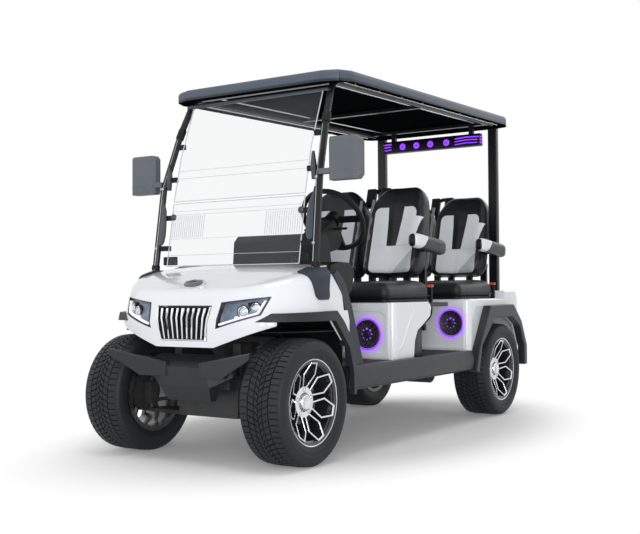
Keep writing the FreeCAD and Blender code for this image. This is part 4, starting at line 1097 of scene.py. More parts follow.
class CART_OT_rims(bpy.types.Operator):
    """Alloy wheels: black barrel and spoke sides, machined spoke faces, hub, nuts and cap"""
    bl_idname = "cart.rims"
    bl_label = "Rims"

    def execute(self, context):
        black = ring([(LIP, 0.1985), (0.094, 0.1775), (-0.098, 0.1775), (-0.100, 0.192), (-0.104, 0.192),
                      (-0.104, 0.170), (0.060, 0.166), (0.084, 0.172), (0.094, 0.186), (0.0995, 0.1915)], 112)
        black += wheel_round(ribbon(fork_line(), [(0.0042, 0.0008), (0.0062, 0.022)]))
        half = [(0.060, 0.0105), (0.092, 0.024), (0.100, 0.027)]
        filler = prism(half + [(r, -w) for r, w in half[::-1]], "x", 0, 0.010)
        black += wheel_round(filler.mapped(lambda p: Vector((dish(p.y) - 0.030 + p.x, p.y, p.z))))
        black += ring([(HUB_FACE - 0.003, 0.0715), (-0.009, 0.0715), (-0.009, 0.018), (HUB_FACE - 0.003, 0.018)], 64)
        face = wheel_round(ribbon(fork_line(), [(0.0032, -0.0002), (0.0040, 0.0012)]))
        face += ring([(LIP + 0.0006, 0.1962), (LIP + 0.0008, 0.1945), (LIP - 0.0005, 0.1922), (0.0985, 0.1925),
                      (0.0985, 0.1965)], 112)

        def on_hub(profile, steps):
            """A ring whose profile is measured from the hub's face."""
            return ring([(HUB_FACE + out, radius) for out, radius in profile], steps)
        face += on_hub([(0, HUB_RADIUS), (0.0015, 0.069), (0.0015, 0.0445), (0, 0.043), (-0.006, 0.043),
                        (-0.006, HUB_RADIUS)], 84)
        cap = on_hub([(-0.004, 0.040), (0.008, 0.0385), (0.0145, 0.034), (0.0165, 0.030), (0.0155, 0.0275),
                      (0.0150, 0.001), (-0.004, 0.001)], 56)
        floor = on_hub([(-0.0045, 0.0445), (-0.0045, 0.0305), (-0.008, 0.0305), (-0.008, 0.0445)], 48)
        pocket = on_hub([(0.0018, 0.0098), (-0.014, 0.0098), (-0.014, 0.008), (0.0018, 0.0080)], 20)
        nut = on_hub([(-0.010, 0.0068), (-0.001, 0.0068), (0.002, 0.0045), (0.002, 0.0004), (-0.010, 0.0004)], 6)
        pockets, nuts = (wheel_round(s.moved(0, NUT_CIRCLE, 0), NUTS, NUT_START) for s in (pocket, nut))
        valve = tube([(0.062, 0.168, 0.0), (0.074, 0.158, 0.0), (0.090, 0.150, 0.0)], 0.003, 10).turned(9, "X")
        for wheel in WHEELS:
            body = "wheel_" + wheel
            rows = (("painted", black + floor + pockets + valve, "alloy_black", ("rim_" + wheel,)),
                    ("machined", face + cap, "alloy_face", ()), ("nuts", nuts, "chrome", ()))
            for name, shape, look, replaced in rows:
                mesh = mesh_of(name, shape)
                mesh.transform(wheel_place(wheel))
                add_piece(f"rim_{wheel}_{name}", mesh, look, body=body, slot="wheel_alloy", replaces=replaced, angle=34)
        return {"FINISHED"}


# Front body

# the cowl's plan at some heights: height, half width, front; it is a rounded oblong about the line y = NOSE_BACK
NOSE = [(0.28, 0.572, -1.368), (0.53, 0.572, -1.368), (0.65, 0.580, -1.387), (0.96, 0.540, -1.300)]
NOSE_BACK, NOSE_POWER = -0.83, 3.2


def nose_at(x, height):
    """Where the cowl's face lies, as the frame has it."""
    height = max(0.28, min(0.959, height))
    low, high = [(a, b) for a, b in zip(NOSE, NOSE[1:]) if a[0] <= height <= b[0]][0]
    t = (height - low[0]) / (high[0] - low[0])
    half, front = low[1] + (high[1] - low[1]) * t, low[2] + (high[2] - low[2]) * t
    return NOSE_BACK + (front - NOSE_BACK) * (1 - min(1, abs(x) / half) ** NOSE_POWER) ** (1 / NOSE_POWER)


def on_nose(outline, out, into, step=0.008):
    """A plate over an (x, z) outline that follows the cowl's face, from out before it to into behind it."""
    mesh = mesh_of("flat", prism(outline, "y", -out, into))
    form = bmesh.new()
    form.from_mesh(mesh)
    left, right = min(p[0] for p in outline), max(p[0] for p in outline)
    cuts = int((right - left) / step)
    for n in range(1, cuts + 1):
        geom = form.verts[:] + form.edges[:] + form.faces[:]
        bmesh.ops.bisect_plane(form, geom=geom, plane_co=(left + n * (right - left) / (cuts + 1), 0, 0),
                               plane_no=(1, 0, 0), dist=1e-6)
    for v in form.verts:
        v.co.y += nose_at(v.co.x, v.co.z)
    form.verts.index_update()
    shape = Shape([v.co.copy() for v in form.verts], [[v.index for v in f.verts] for f in form.faces])
    form.free()
    bpy.data.meshes.remove(mesh)
    return shape


def inside(corners, by):
    """A convex outline drawn in by a distance."""
    middle = sum((Vector(c) for c in corners), Vector((0, 0))) / len(corners)
    return [tuple(Vector(c) + (middle - Vector(c)).normalized() * by * 1.3) for c in corners]


def frame_between(outer, inner, out, into, sides=None):
    """A conforming frame: the strip from an outline to the same outline drawn in, on all sides or some."""
    count = len(outer)
    parts = []
    for n in sides or range(count):
        m = (n + 1) % count
        parts.append(on_nose([outer[n], outer[m], inner[m], inner[n]], out, into))
    return total(parts)


LAMP = [(0.198, 0.625), (0.216, 0.742), (0.430, 0.767), (0.402, 0.686)]


class CART_OT_lamps(bpy.types.Operator):
    """Headlamps: thin dark bezel, faceted reflector, two projector lenses and the light bar"""
    bl_idname = "cart.lamps"
    bl_label = "Headlamps"

    def execute(self, context):
        outer = inside(LAMP, -0.002)
        bezel = frame_between(outer, inside(LAMP, 0.0035), 0.0026, 0.036)
        back = on_nose(outer, -0.034, 0.042)
        make("headlamp_bezels", (bezel + back).both(), "charcoal", slot="lamp_lens", replaces=("headlamps",),
             bevel=0.0009)
        reflector = on_nose(inside(LAMP, 0.004), -0.020, 0.036)
        make("headlamp_reflectors", reflector.both(), "reflector", slot="lamp_lens")
        lenses, cups, sockets = Shape(), Shape(), Shape()
        for x, height, radius in ((0.316, 0.701, 0.024), (0.368, 0.718, 0.022)):
            ball = ring([(0.0005, 0.0002), (0.0005, radius * 0.80), (-0.004, radius * 0.80), (-0.010, radius * 0.62),
                         (-0.014, radius * 0.36), (-0.0155, 0.0002)], 40)
            cup = ring([(0.004, radius), (0.004, radius * 0.86), (-0.010, radius * 0.86), (-0.0115, radius * 0.93),
                        (-0.010, radius)], 40)
            socket = ring([(0.004, radius * 1.22), (0.004, radius), (-0.004, radius), (-0.004, radius * 1.22)], 40)
            ball, cup, socket = (s.turned(90, "Z").turned(22, "Z").moved(x, nose_at(x, height) + 0.021, height)
                                 for s in (ball, cup, socket))
            lenses, cups, sockets = lenses + ball, cups + cup, sockets + socket
        make("headlamp_lenses", lenses.both(), "lens", slot="lamp_lens")
        make("headlamp_cups", cups.both(), "chrome", slot="lamp_lens")
        make("headlamp_sockets", sockets.both(), "black", slot="lamp_lens")
        bar = total([on_nose(outline, 0.001, 0.018) for outline in (
            [(0.214, 0.6385), (0.2155, 0.6465), (0.394, 0.6990), (0.392, 0.6915)],
            [(0.392, 0.6915), (0.3875, 0.6990), (0.4090, 0.7500), (0.4160, 0.7510)],
            [(0.292, 0.6620), (0.2925, 0.6790), (0.2995, 0.6800), (0.2990, 0.6640)])])
        make("headlamp_light_bars", bar.both(), "light_bar", slot="lamp_lens", bevel=0.0012)
        shade_bar = on_nose([(0.338, 0.742), (0.372, 0.746), (0.366, 0.730), (0.344, 0.720)], -0.006, 0.030)
        make("headlamp_shades", shade_bar.both(), "black", slot="lamp_lens", bevel=0.001)
        return {"FINISHED"}


GRILLE = [(-0.156, 0.722), (0.156, 0.722), (0.132, 0.571), (-0.132, 0.571)]


class CART_OT_grille(bpy.types.Operator):
    """Plated grille of nine bars that bend in their upper third, before a black back"""
    bl_idname = "cart.grille"
    bl_label = "Grille"

    def execute(self, context):
        outer = inside(GRILLE, -0.005)
        make("grille_back", on_nose(outer, -0.024, 0.030), "black", slot="bright_trim", replaces=("grille",))
        rim = frame_between(outer, inside(GRILLE, 0.0015), 0.004, 0.026, (1, 2, 3))
        make("grille_frame", rim, "chrome", slot="bright_trim", bevel=0.001)
        head = on_nose([(-0.157, 0.7215), (0.157, 0.7215), (0.156, 0.7175), (-0.156, 0.7175)], 0.003, 0.026)
        make("grille_head", head, "black", slot="bright_trim")
        brow = on_nose([(-0.161, 0.7300), (0.164, 0.7300), (0.162, 0.7268), (-0.159, 0.7268)], 0.0022, 0.010)
        make("grille_brow", brow, "steel", slot="bright_trim", bevel=0.0006)
        bars = Shape()
        for n in range(9):
            t = (n + 0.5) / 9 * 2 - 1
            foot, knee, head = Vector((t * 0.124, 0.5745)), Vector((t * 0.1400, 0.672)), Vector((t * 0.146, 0.7165))
            spread = 0.0100 if n == 4 else 0.0076
            bars += on_nose([(foot.x - 0.0036, foot.y), (knee.x - 0.0056, knee.y), (knee.x + 0.0056, knee.y),
                             (foot.x + 0.0036, foot.y)], 0.0035, 0.016, 1)
            bars += on_nose([(knee.x - 0.0056, knee.y), (head.x - spread, head.y), (head.x + spread, head.y),
                             (knee.x + 0.0056, knee.y)], 0.0035, 0.016, 1)
        make("grille_bars", bars, "chrome", slot="bright_trim", bevel=0.0016, segments=2)
        return {"FINISHED"}


class CART_OT_cowl(bpy.types.Operator):
    """White front cowl with its bare oval badge, flares, trims and arch liners"""
    bl_idname = "cart.cowl"
    bl_label = "Front body"

    def execute(self, context):
        dress("front_cowl", "body", slot="white_body", bevel=0.0015, angle=24, flat=0.01)
        oval = [(0.068 * math.cos(2 * math.pi * n / 48), 0.038 * math.sin(2 * math.pi * n / 48)) for n in range(48)]
        rim = prism(oval, "z", -0.022, 0.0035)
        face = prism([(a * 0.84, b * 0.76) for a, b in oval], "z", 0.003, 0.0048)
        for name, shape, look, bevel in (("badge_rim", rim, "lens", 0.0018), ("badge_face", face, "badge", 0.0008)):
            make(name, shape.turned(36, "X").moved(0, -1.2965, 0.8282), look, slot="bright_trim", bevel=bevel)
        # closes the bulkhead behind the steering rack
        make("bulkhead_boot", block((-0.235, -0.8065, 0.396), (0.235, -0.8035, 0.606)), "black", slot="black_plastic")
        dress("front_flares", "charcoal", slot="charcoal_plastic", bevel=0.006, segments=3)
        dress("cowl_trims", "trim", slot="charcoal_plastic", bevel=0.005, segments=3)
        dress("wheel_liners", "black", slot="black_plastic", bevel=0.001)
        dress("front_bumper", "charcoal", slot="charcoal_plastic", bevel=0.004, segments=3, angle=50)
        return {"FINISHED"}


# Seats

def soft_form(low, high, corner, crown=0.0, cells=0.012):
    """A rounded closed block of small faces, its top crowned."""
    form = bmesh.new()
    bmesh.ops.create_cube(form, size=1)
    size = high - low
    cuts = max(2, int(max(size) / cells / 2))
    bmesh.ops.subdivide_edges(form, edges=form.edges, cuts=min(cuts, 18), use_grid_fill=True)
    middle = (low + high) / 2
    for v in form.verts:
        u = v.co * 2
        spot = Vector((u.x * size.x, u.y * size.y, u.z * size.z)) / 2
        core = Vector([max(-(s / 2 - corner), min(s / 2 - corner, c)) for s, c in zip(size, spot)])
        away = spot - core
        if away.length > 1e-9:
            spot = core + away.normalized() * min(corner, away.length)
        rise = crown * (1 - u.x ** 4) * (1 - u.y ** 4)
        spot.z += rise if u.z > 0 else 0
        v.co = middle + spot
    mesh = bpy.data.meshes.new("soft")
    form.to_mesh(mesh)
    form.free()
    return mesh


FILL_FRAMES, FILL_STIFFNESS = 20, 12


def stuffed(name, mesh):
    """Fills a closed form like a pad: remesh, pressure, and a cap on how far it moves."""
    piece = bpy.data.objects.new(name, mesh)
    bpy.context.collection.objects.link(piece)
    remesh = piece.modifiers.new("Cells", "REMESH")
    remesh.mode = "VOXEL"
    remesh.voxel_size = sizes().pad_voxel
    graph = bpy.context.evaluated_depsgraph_get()
    rest = bpy.data.meshes.new_from_object(piece.evaluated_get(graph))
    piece.modifiers.clear()
    piece.data = rest
    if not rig.quick():
        start = [v.co.copy() for v in rest.vertices]
        cloth = piece.modifiers.new("Cloth", "CLOTH")
        cloth.settings.use_pressure = True
        cloth.settings.uniform_pressure_force = sizes().pad_pressure
        cloth.settings.effector_weights.gravity = 0
        cloth.settings.quality = 5
        cloth.settings.tension_stiffness = cloth.settings.compression_stiffness = FILL_STIFFNESS
        cloth.point_cache.frame_start, cloth.point_cache.frame_end = 1, FILL_FRAMES
        for step in range(1, FILL_FRAMES + 1):
            bpy.context.scene.frame_set(step)
        graph = bpy.context.evaluated_depsgraph_get()
        filled = bpy.data.meshes.new_from_object(piece.evaluated_get(graph))
        piece.modifiers.clear()
        cap = sizes().pad_swell
        for before, v in zip(start, filled.vertices):
            move = v.co - before
            if move.length > cap:
                v.co = before + move.normalized() * cap
        piece.data = filled
        bpy.context.scene.frame_set(1)
    done = piece.data
    bpy.data.objects.remove(piece)
    return done


def seat_pads(pad, node, kind, look, slot, fill, place):
    """A filled pad four times, mirrored for the right seats; the first one takes the node's place."""
    for row, across in ((row, across) for row in (0, 1) for across in ("left", "right")):
        mesh = pad.copy()
        mesh.transform(place(row) @ Matrix.Diagonal((1 if across == "left" else -1, 1, 1, 1)))
        if across == "right":
            mesh.flip_normals()
        name = f"{kind}_{'rear' if row else 'front'}_{across}"
        piece = add_piece(name, mesh, look, slot=slot, replaces=(node,) if name == kind + "_front_left" else (),
                          angle=80)
        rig.padded(piece, fill=fill)


def cushion_mesh():
    """The left front cushion: rounded front roll, raised outer and rear bolsters."""
    mesh = soft_form(Vector((0.017, -0.322, 0.733)), Vector((0.495, 0.198, 0.829)), 0.040, crown=0.005)
    for v in mesh.vertices:
        x, y, height = v.co
        if height > 0.79:
            outer = max(0, 1 - abs(x - 0.425) / 0.070) ** 0.7
            back = max(0, 1 - abs(y - 0.125) / 0.080) ** 0.7
            middle = max(0, 1 - abs(x - 0.235) / 0.13) * max(0, 1 - abs(y + 0.04) / 0.15)
            ramp = max(0, min(1, (y + 0.17) / 0.13))
            v.co.z += 0.012 * max(outer * ramp, back) - 0.010 * middle
    return mesh


class CART_OT_cushions(bpy.types.Operator):
    """Seat cushions, filled as pads, with a piped seam round each foot"""
    bl_idname = "cart.cushions"
    bl_label = "Seat cushions"

    def execute(self, context):
        pad = settled_pad(stuffed("cushion_fill", cushion_mesh()))
        foot = rounded(oblong(0.019, -0.323, 0.497, 0.199), 0.05, 6)
        piping = tube([(*corner, 0.7625) for corner in foot], 0.0036, 8, True)
        base = prism(rounded(oblong(0.024, -0.312, 0.490, 0.190), 0.04), "z", 0.7303, 0.745)
        seat_pads(pad, "seat_cushions", "cushion", "pad_dark", "seat_black", 0.75,
                  lambda row: Matrix.Translation((0, row * ROW_STEP, row * ROW_RISE)))
        trim = total([(piping + base).moved(0, row * ROW_STEP, row * ROW_RISE) for row in (0, 1)]).both()
        make("cushion_piping", trim, "black", slot="seat_black", angle=50)
        return {"FINISHED"}


def settled_pad(mesh):
    """One level of subdivision on a filled pad."""
    piece = bpy.data.objects.new("pad_holder", mesh)
    bpy.context.collection.objects.link(piece)
    smooth = piece.modifiers.new("Smooth", "SUBSURF")
    smooth.levels = smooth.render_levels = 1
    graph = bpy.context.evaluated_depsgraph_get()
    done = bpy.data.meshes.new_from_object(piece.evaluated_get(graph))
    bpy.data.objects.remove(piece)
    return done


def back_place(row):
    """From an upright backrest at the origin to its place in a row."""
    spot = Matrix.Translation((0, BACK_Y + row * ROW_STEP, BACK_FOOT + row * ROW_RISE))
    return spot @ Matrix.Rotation(-BACK_LEAN, 4, "X")


def back_mesh():
    """The left backrest drawn upright: a tapered pad with bolsters at its sides and a head roll."""
    corners = rounded([(0.012, 0.022), (0.036, -0.002), (0.352, -0.002), (0.390, 0.06), (0.393, 0.34), (0.384, 0.485),
                       (0.338, 0.551), (0.120, 0.551), (0.070, 0.512), (0.012, 0.42)], 0.045, 5)
    form = bmesh.new()
    rows = 7
    layers = []
    centre = Vector((0.2, 0.27))
    for k in range(rows + 1):
        t = k / rows
        round_in = 1 - 0.07 * abs(2 * t - 1) ** 5
        layer = []
        for a, b in corners:
            flat = centre + (Vector((a, b)) - centre) * round_in
            thick = 0.136 - max(0, flat.y - 0.28) * 0.17
            layer.append(form.verts.new((flat.x, 0.002 + thick * t, flat.y)))
        layers.append(layer)
    count = len(corners)
    for a, b in zip(layers, layers[1:]):
        for n in range(count):
            form.faces.new((a[n], a[(n + 1) % count], b[(n + 1) % count], b[n]))
    form.faces.new(layers[0][::-1])
    form.faces.new(layers[-1])
    bmesh.ops.recalc_face_normals(form, faces=form.faces)
    mesh = bpy.data.meshes.new("back")
    form.to_mesh(mesh)
    form.free()
    return mesh


class CART_OT_backs(bpy.types.Operator):
    """Backrests, filled as pads, with light panels on a dark shell"""
    bl_idname = "cart.backs"
    bl_label = "Backrests"

    def execute(self, context):
        pad = stuffed("back_fill", back_mesh())
        for v in pad.vertices:
            x, y, height = v.co
            if y < 0.05:
                bolster = max(0, 1 - abs(x - 0.345) / 0.05) + max(0, 1 - abs(x - 0.040) / 0.04)
                dip = max(0, 1 - abs(x - 0.195) / 0.13) * max(0, min(1, (0.44 - height) / 0.1))
                v.co.y += 0.016 * dip - 0.004 * bolster
        seat_pads(settled_pad(pad), "seat_backs", "back", "back_pad", "seat_light", 0.7, back_place)
        return {"FINISHED"}


class CART_OT_armrests(bpy.types.Operator):
    """Padded armrests: light inner and front panel, dark outer panel and end cap"""
    bl_idname = "cart.armrests"
    bl_label = "Armrests"

    def execute(self, context):
        for row in ("front", "rear"):
            for side, sign in (("left", 1), ("right", -1)):
                node = f"armrest_{row}_{side}"
                body = f"{row}_{side}_armrest"
                pivot = [j for j in frame["joints"] if j["child"] == body][0]
                spot = Vector(pivot.get("pos_m") or pivot["anchor"])
                mesh = soft_form(Vector((-0.0345, -0.351, -0.044)), Vector((0.0345, 0.034, 0.044)), 0.030, cells=0.016)
                for v in mesh.vertices:
                    # deepest at the pivot, a little slimmer towards the front
                    t = max(0, min(1, -v.co.y / 0.35))
                    v.co.z = v.co.z * (1 - 0.10 * t)
                pad = settled_pad(mesh)
                pad.transform(Matrix.Translation(spot) @ Matrix.Rotation(math.radians(-5.5), 4, "X"))
                piece = add_piece(node + "_pad", pad, "arm_pad_left" if sign > 0 else "arm_pad_right", body=body,
                                  slot="seat_black", replaces=(node,), angle=80)
                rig.padded(piece, fill=0.8)
        return {"FINISHED"}


# The rest of the frame

class CART_OT_body(bpy.types.Operator):
    """Seat boxes, rear body, sills, floor and mats"""
    bl_idname = "cart.body"
    bl_label = "Seat boxes and rear body"

    def execute(self, context):
        dress("front_seat_box", "body", slot="white_body")
        dress("rear_body", "body", slot="white_body")
        relief = Shape()
        for half, front, low, high, side, sill, brow, out in (
            (0.496, -0.300, 0.432, 0.7285, 0.020, 0.034, 0.048, 0.0070),
            (0.513, 0.605, 0.434, 0.7385, 0.010, 0.020, 0.050, 0.0045),
        ):
            outer = rounded(oblong(-half, low, half, high), 0.004, 5)
            inner = rounded(oblong(-half + side, low + sill, half - side, high - brow), 0.045, 5)
            relief += strip(outer, inner, "y", front - out, front + 0.001)
        make("seat_box_relief", relief, "body", slot="white_body", bevel=0.003, segments=3)
        flange = flowing([(0.5295, -0.052, 0.698), (0.5295, -0.090, 0.668), (0.5295, -0.130, 0.630),
                          (0.5295, -0.190, 0.540), (0.5295, -0.235, 0.490), (0.522, -0.285, 0.470)], 7)
        crest = tube(flange, 0.0055, 10)
        make("seat_box_crests", crest.both(), "body", slot="white_body", angle=60)
        lip = flowing([(0.5285, 0.099, 0.7285), (0.5285, 0.1355, 0.702), (0.5285, 0.1230, 0.650),
                       (0.5285, 0.060, 0.6165), (0.5285, 0.022, 0.5965)], 6)
        gasket = tube(lip, 0.0055, 8)
        bracket = block((0.505, 0.052, 0.570), (0.526, 0.074, 0.604))
        make("seat_box_gaskets", (gasket + bracket).both(), "black", slot="black_plastic", bevel=0.0008)
        cheek = prism([(-0.078, 0.4305), (-0.064, 0.518), (-0.032, 0.572), (0.022, 0.597), (0.050, 0.597),
                       (0.040, 0.540), (0.040, 0.4305)], "x", 0.500, 0.516)
        make("knee_cheeks", cheek.both(), "charcoal", slot="charcoal_plastic", bevel=0.003)
        for node, bevel in (("rear_flares", 0.006), ("rear_bumper", 0.006), ("sills", 0.005)):
            dress(node, "charcoal", slot="charcoal_plastic", bevel=bevel, segments=3)
        dress("tail_lamps", "red", slot="red_lens", bevel=0.004, segments=3)
        dress("floor_mats", "mat", slot="floor_rubber", bevel=0.002)
        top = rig.box("floor_mats")[1].z
        stud = mesh_of("mat_stud", block((-0.010, -0.0045, 0), (0.010, 0.0045, 0.0030)))
        step, spots, turns = 0.026, [], []
        for front, back in ((-0.56, -0.31), (0.16, 0.59)):
            for i in range(int((back - front) / step)):
                for j in range(37):
                    spots.append(((j - 18) * step, front + 0.014 + i * step, top - 0.0004))
                    turns.append((0, 0, math.radians(45 if (i + j) % 2 else -45)))
        studs = at_spots(stud, spots, turns, finish("charcoal"), "MatStuds")
        add_piece("mat_studs", studs, "charcoal", slot="floor_rubber", angle=30)
        paint("floor_pan", "chassis", "chassis_black")
        paint("battery_block", "black", "battery_case")
        return {"FINISHED"}


class CART_OT_speakers(bpy.types.Operator):
    """Speakers with bladed cones and lit rings"""
    bl_idname = "cart.speakers"
    bl_label = "Speakers"

    def execute(self, context):
        cone = ring([(0.002, 0.0755), (-0.004, 0.0755), (-0.006, 0.073), (-0.002, 0.068), (0.008, 0.040),
                     (0.010, 0.020), (0.004, 0.014), (0.001, 0.001), (0.016, 0.001), (0.018, 0.0755)], 64)
        blade = block((-0.005, 0.018, -0.0010), (0.006, 0.067, 0.0010)).turned(16, "X", (0, 0.02, 0))
        blades = total([blade.turned(360 * n / 14, "X") for n in range(14)])
        halo = ring([(-0.002, 0.0860), (-0.0040, 0.0845), (-0.0050, 0.0805), (-0.003, 0.0775), (0.0, 0.0775),
                     (0.0, 0.0860)], 72)
        dots = Shape()
        for n in range(8):
            angle = 2 * math.pi * n / 8
            # the lamps on the outer side show larger through the blades
            size = 0.0034 + 0.0022 * max(0, math.cos(angle - 1.8))
            dot = ring([(-0.006, 0.0002), (-0.006, size), (-0.002, size * 1.15), (-0.002, 0.0002)], 12)
            dots += dot.moved(0, 0.029, 0).turned(math.degrees(angle), "X")

        def everywhere(shape):
            placed = [shape.turned(90, "Z").moved(x, y, height) for x, y, height in SPEAKERS]
            return total(placed).both()
        make("speaker_cones", everywhere(cone), "cone", slot="speaker_black", replaces=("speakers",))
        for name, shape, look in (("blades", blades, "steel"), ("halos", halo, "glow"), ("dots", dots, "glow")):
            make("speaker_" + name, everywhere(shape), look, slot="speaker_black")
        return {"FINISHED"}


class CART_OT_canopy(bpy.types.Operator):
    """Roof moulding, posts, windscreen, clips and mirrors"""
    bl_idname = "cart.canopy"
    bl_label = "Canopy"

    def execute(self, context):
        dress("roof", "roof", slot="roof_slate", bevel=0.004, flat=0)
        dress("canopy_frame", "tube", slot="frame_black", bevel=0.003, angle=50)
        dress("rear_posts", "tube", slot="frame_black", bevel=0.006, segments=3)
        dress("windscreen", "glass", slot="clear_pane", bevel=0.001)
        dress("windscreen_clips", "black", slot="black_plastic", bevel=0.003)
        dress("mirrors", "mirror_shell", slot="charcoal_plastic", bevel=0.010, segments=3, angle=40)
        dress("sound_bar", "violet", slot="black_plastic", bevel=0.006, segments=3)
        self.lining()
        self.posts()
        self.pane()
        self.mirrors()
        self.lamps()
        return {"FINISHED"}

    def lining(self):
        """Rails and screws along the roof's lower face; the rails stand partly for alloy rails and partly, as painted
        highlight, for the light along the roof's black tubes.
        """
        rails = Shape()
        # painted highlight in part: the silver rails also stand for the light along the black tubes under the roof
        for x, low in ((0.492, 0.010), (0.352, 0.030)):
            line = [(x, y, under_roof(y) + low) for y in (-0.735, 1.190)]
            rails += tube(line, 0.0055, 10)
        make("roof_rails", rails.both(), "alloy_face", slot="bright_trim", angle=50)
        spots = [(side * 0.531, y * 0.001, under_roof(y * 0.001)) for side in (1, -1) for y in range(-690, 1300, 244)]
        head = mesh_of("roof_screw", dome(0.0058, 0.0030).turned(-90, "Y"))
        screws = at_spots(head, spots, [(0, 0, 0)] * len(spots), finish("steel"), "RoofScrews")
        add_piece("roof_screws", screws, "steel", slot="bright_trim", angle=40)

    def posts(self):
        """The windscreen posts' inner plates, bright edge strips that are a painted highlight along each post's front,
        and knobs.
        """
        # painted highlight: a thin steel strip down each post's front stands for the light along the tube
        edge = [post_at(height) + Vector((-0.0055, -0.0165, 0))
                for height in (0.905, 1.0, 1.1, 1.2, 1.332, 1.42, 1.52, 1.60)]
        make("post_edges", tube(edge, 0.0021, 8).both(), "steel", slot="bright_trim", angle=60)
        rows = ((1.036, 0.020, 0.040), (1.052, 0.016, 0.050), (1.090, 0.014, 0.055), (1.150, 0.014, 0.052),
                (1.215, 0.014, 0.044), (1.262, 0.013, 0.022), (1.290, 0.013, 0.016))
        points, faces = [], []
        for height, near, far in rows:
            middle = post_at(height)
            for inward in (near, far):
                for deep in (-0.018, -0.009):
                    points.append((middle.x - inward, middle.y + deep, height))
        for n in range(len(rows) - 1):
            a, b = n * 4, n * 4 + 4
            for i, j in ((0, 1), (1, 3), (3, 2), (2, 0)):
                faces.append((a + i, a + j, b + j, b + i))
        faces += [(0, 2, 3, 1), (len(points) - 4, len(points) - 3, len(points) - 1, len(points) - 2)]
        leaf = Shape(points, faces)
        plate = prism([(0.447, 1.325), (0.468, 1.325), (0.466, 1.400), (0.455, 1.462), (0.448, 1.455), (0.440, 1.400)],
                      "y", -0.962, -0.944)
        make("post_plates", (leaf + plate).both(), "post", slot="frame_black", bevel=0.002)
        bolts = Shape()
        for height in (1.018, 1.332):
            middle = post_at(height)
            bolts += dome(0.0085, 0.008, 20).turned(90, "Z").moved(middle.x - 0.006, middle.y - 0.0165, height)
        knobs = dome(0.0165, 0.013, 20).turned(90, "Z").moved(0.400, -0.9785, 1.180)
        make("post_bolts", bolts.both(), "steel", slot="bright_trim", bevel=0.001)
        make("pane_knobs", knobs.both(), "post", slot="black_plastic", bevel=0.001)
        clamps = Shape()
        for height, reach in ((0.918, 0.012), (1.634, 0.026)):
            low, high = post_at(height - reach), post_at(height + reach)
            clamps += tube([low, high], 0.0215, 20)
        make("post_clamps", clamps.both(), "black", slot="black_plastic", bevel=0.002)

    def pane(self):
        """Edges of the panes, the fold's hinge strips and the top rail; the pale edges and lines are a painted
        highlight of the light along the acrylic's edges.
        """
        low, high = [(-1.0205, 0.924), (-0.9665, 1.250)], [(-0.9645, 1.262), (-0.9075, 1.500), (-0.8025, 1.780)]
        sides = total([tube([(0.4125, y, height) for y, height in line], 0.0028, 8) for line in (low, high)]).both()
        across = Shape()
        for y, height in (low[0], low[1], high[0]):
            across += tube([(-0.412, y, height), (0.412, y, height)], 0.0022, 8)
        make("pane_edges", sides + across, "pane_edge", slot="clear_pane", angle=60)
        rail = [(-0.452, -0.806, 1.776), (-0.440, -0.803, 1.786), (0.440, -0.803, 1.786), (0.452, -0.806, 1.776)]
        make("pane_rail", tube(rail, 0.0085, 14), "post", slot="frame_black", angle=60)
        latches = block((0.358, -1.0120, 0.930), (0.448, -0.9960, 0.974))
        make("pane_latches", latches.both(), "black", slot="black_plastic", bevel=0.006, segments=3)
        lines = Shape()
        for y, height in ((-0.9295, 1.424), (-0.9395, 1.383), (-0.9760, 1.209), (-0.9790, 1.190), (-0.9995, 1.064),
                          (-1.0130, 0.980)):
            lines += tube([(-0.410, y, height), (0.410, y, height)], 0.0012, 6)
        make("pane_lines", lines, "pane_edge", slot="clear_pane", angle=60)
        slat = mesh_of("pane_slat", block((-0.0012, -0.0010, 0), (0.0012, 0.0010, 0.116)))
        spots = [(side * (0.195 + n * 0.0135), -0.9985, 1.069) for side in (1, -1) for n in range(16)]
        slats = at_spots(slat, spots, [(math.radians(-9.4), 0, 0)] * len(spots), finish("pane_edge"), "PaneVents")
        add_piece("pane_vents", slats, "pane_edge", slot="clear_pane", angle=30)

    def mirrors(self):
        """Mirror glasses and the ridge round each mirror's shell."""
        glass = prism(rounded([(0.553, 1.322), (0.706, 1.322), (0.710, 1.488), (0.690, 1.510), (0.562, 1.510),
                               (0.552, 1.498)], 0.012), "y", -0.9235, -0.9205)
        make("mirror_glasses", glass.both(), "mirror_glass", slot="bright_trim", bevel=0.001)
        ridge = prism([(0.5438, -0.930), (0.5438, -0.961), (0.5643, -0.9866), (0.6908, -0.9866), (0.7184, -0.957),
                       (0.7184, -0.930)], "z", 1.3505, 1.3565)
        make("mirror_ridges", ridge.both(), "mirror_shell", slot="charcoal_plastic", bevel=0.002)

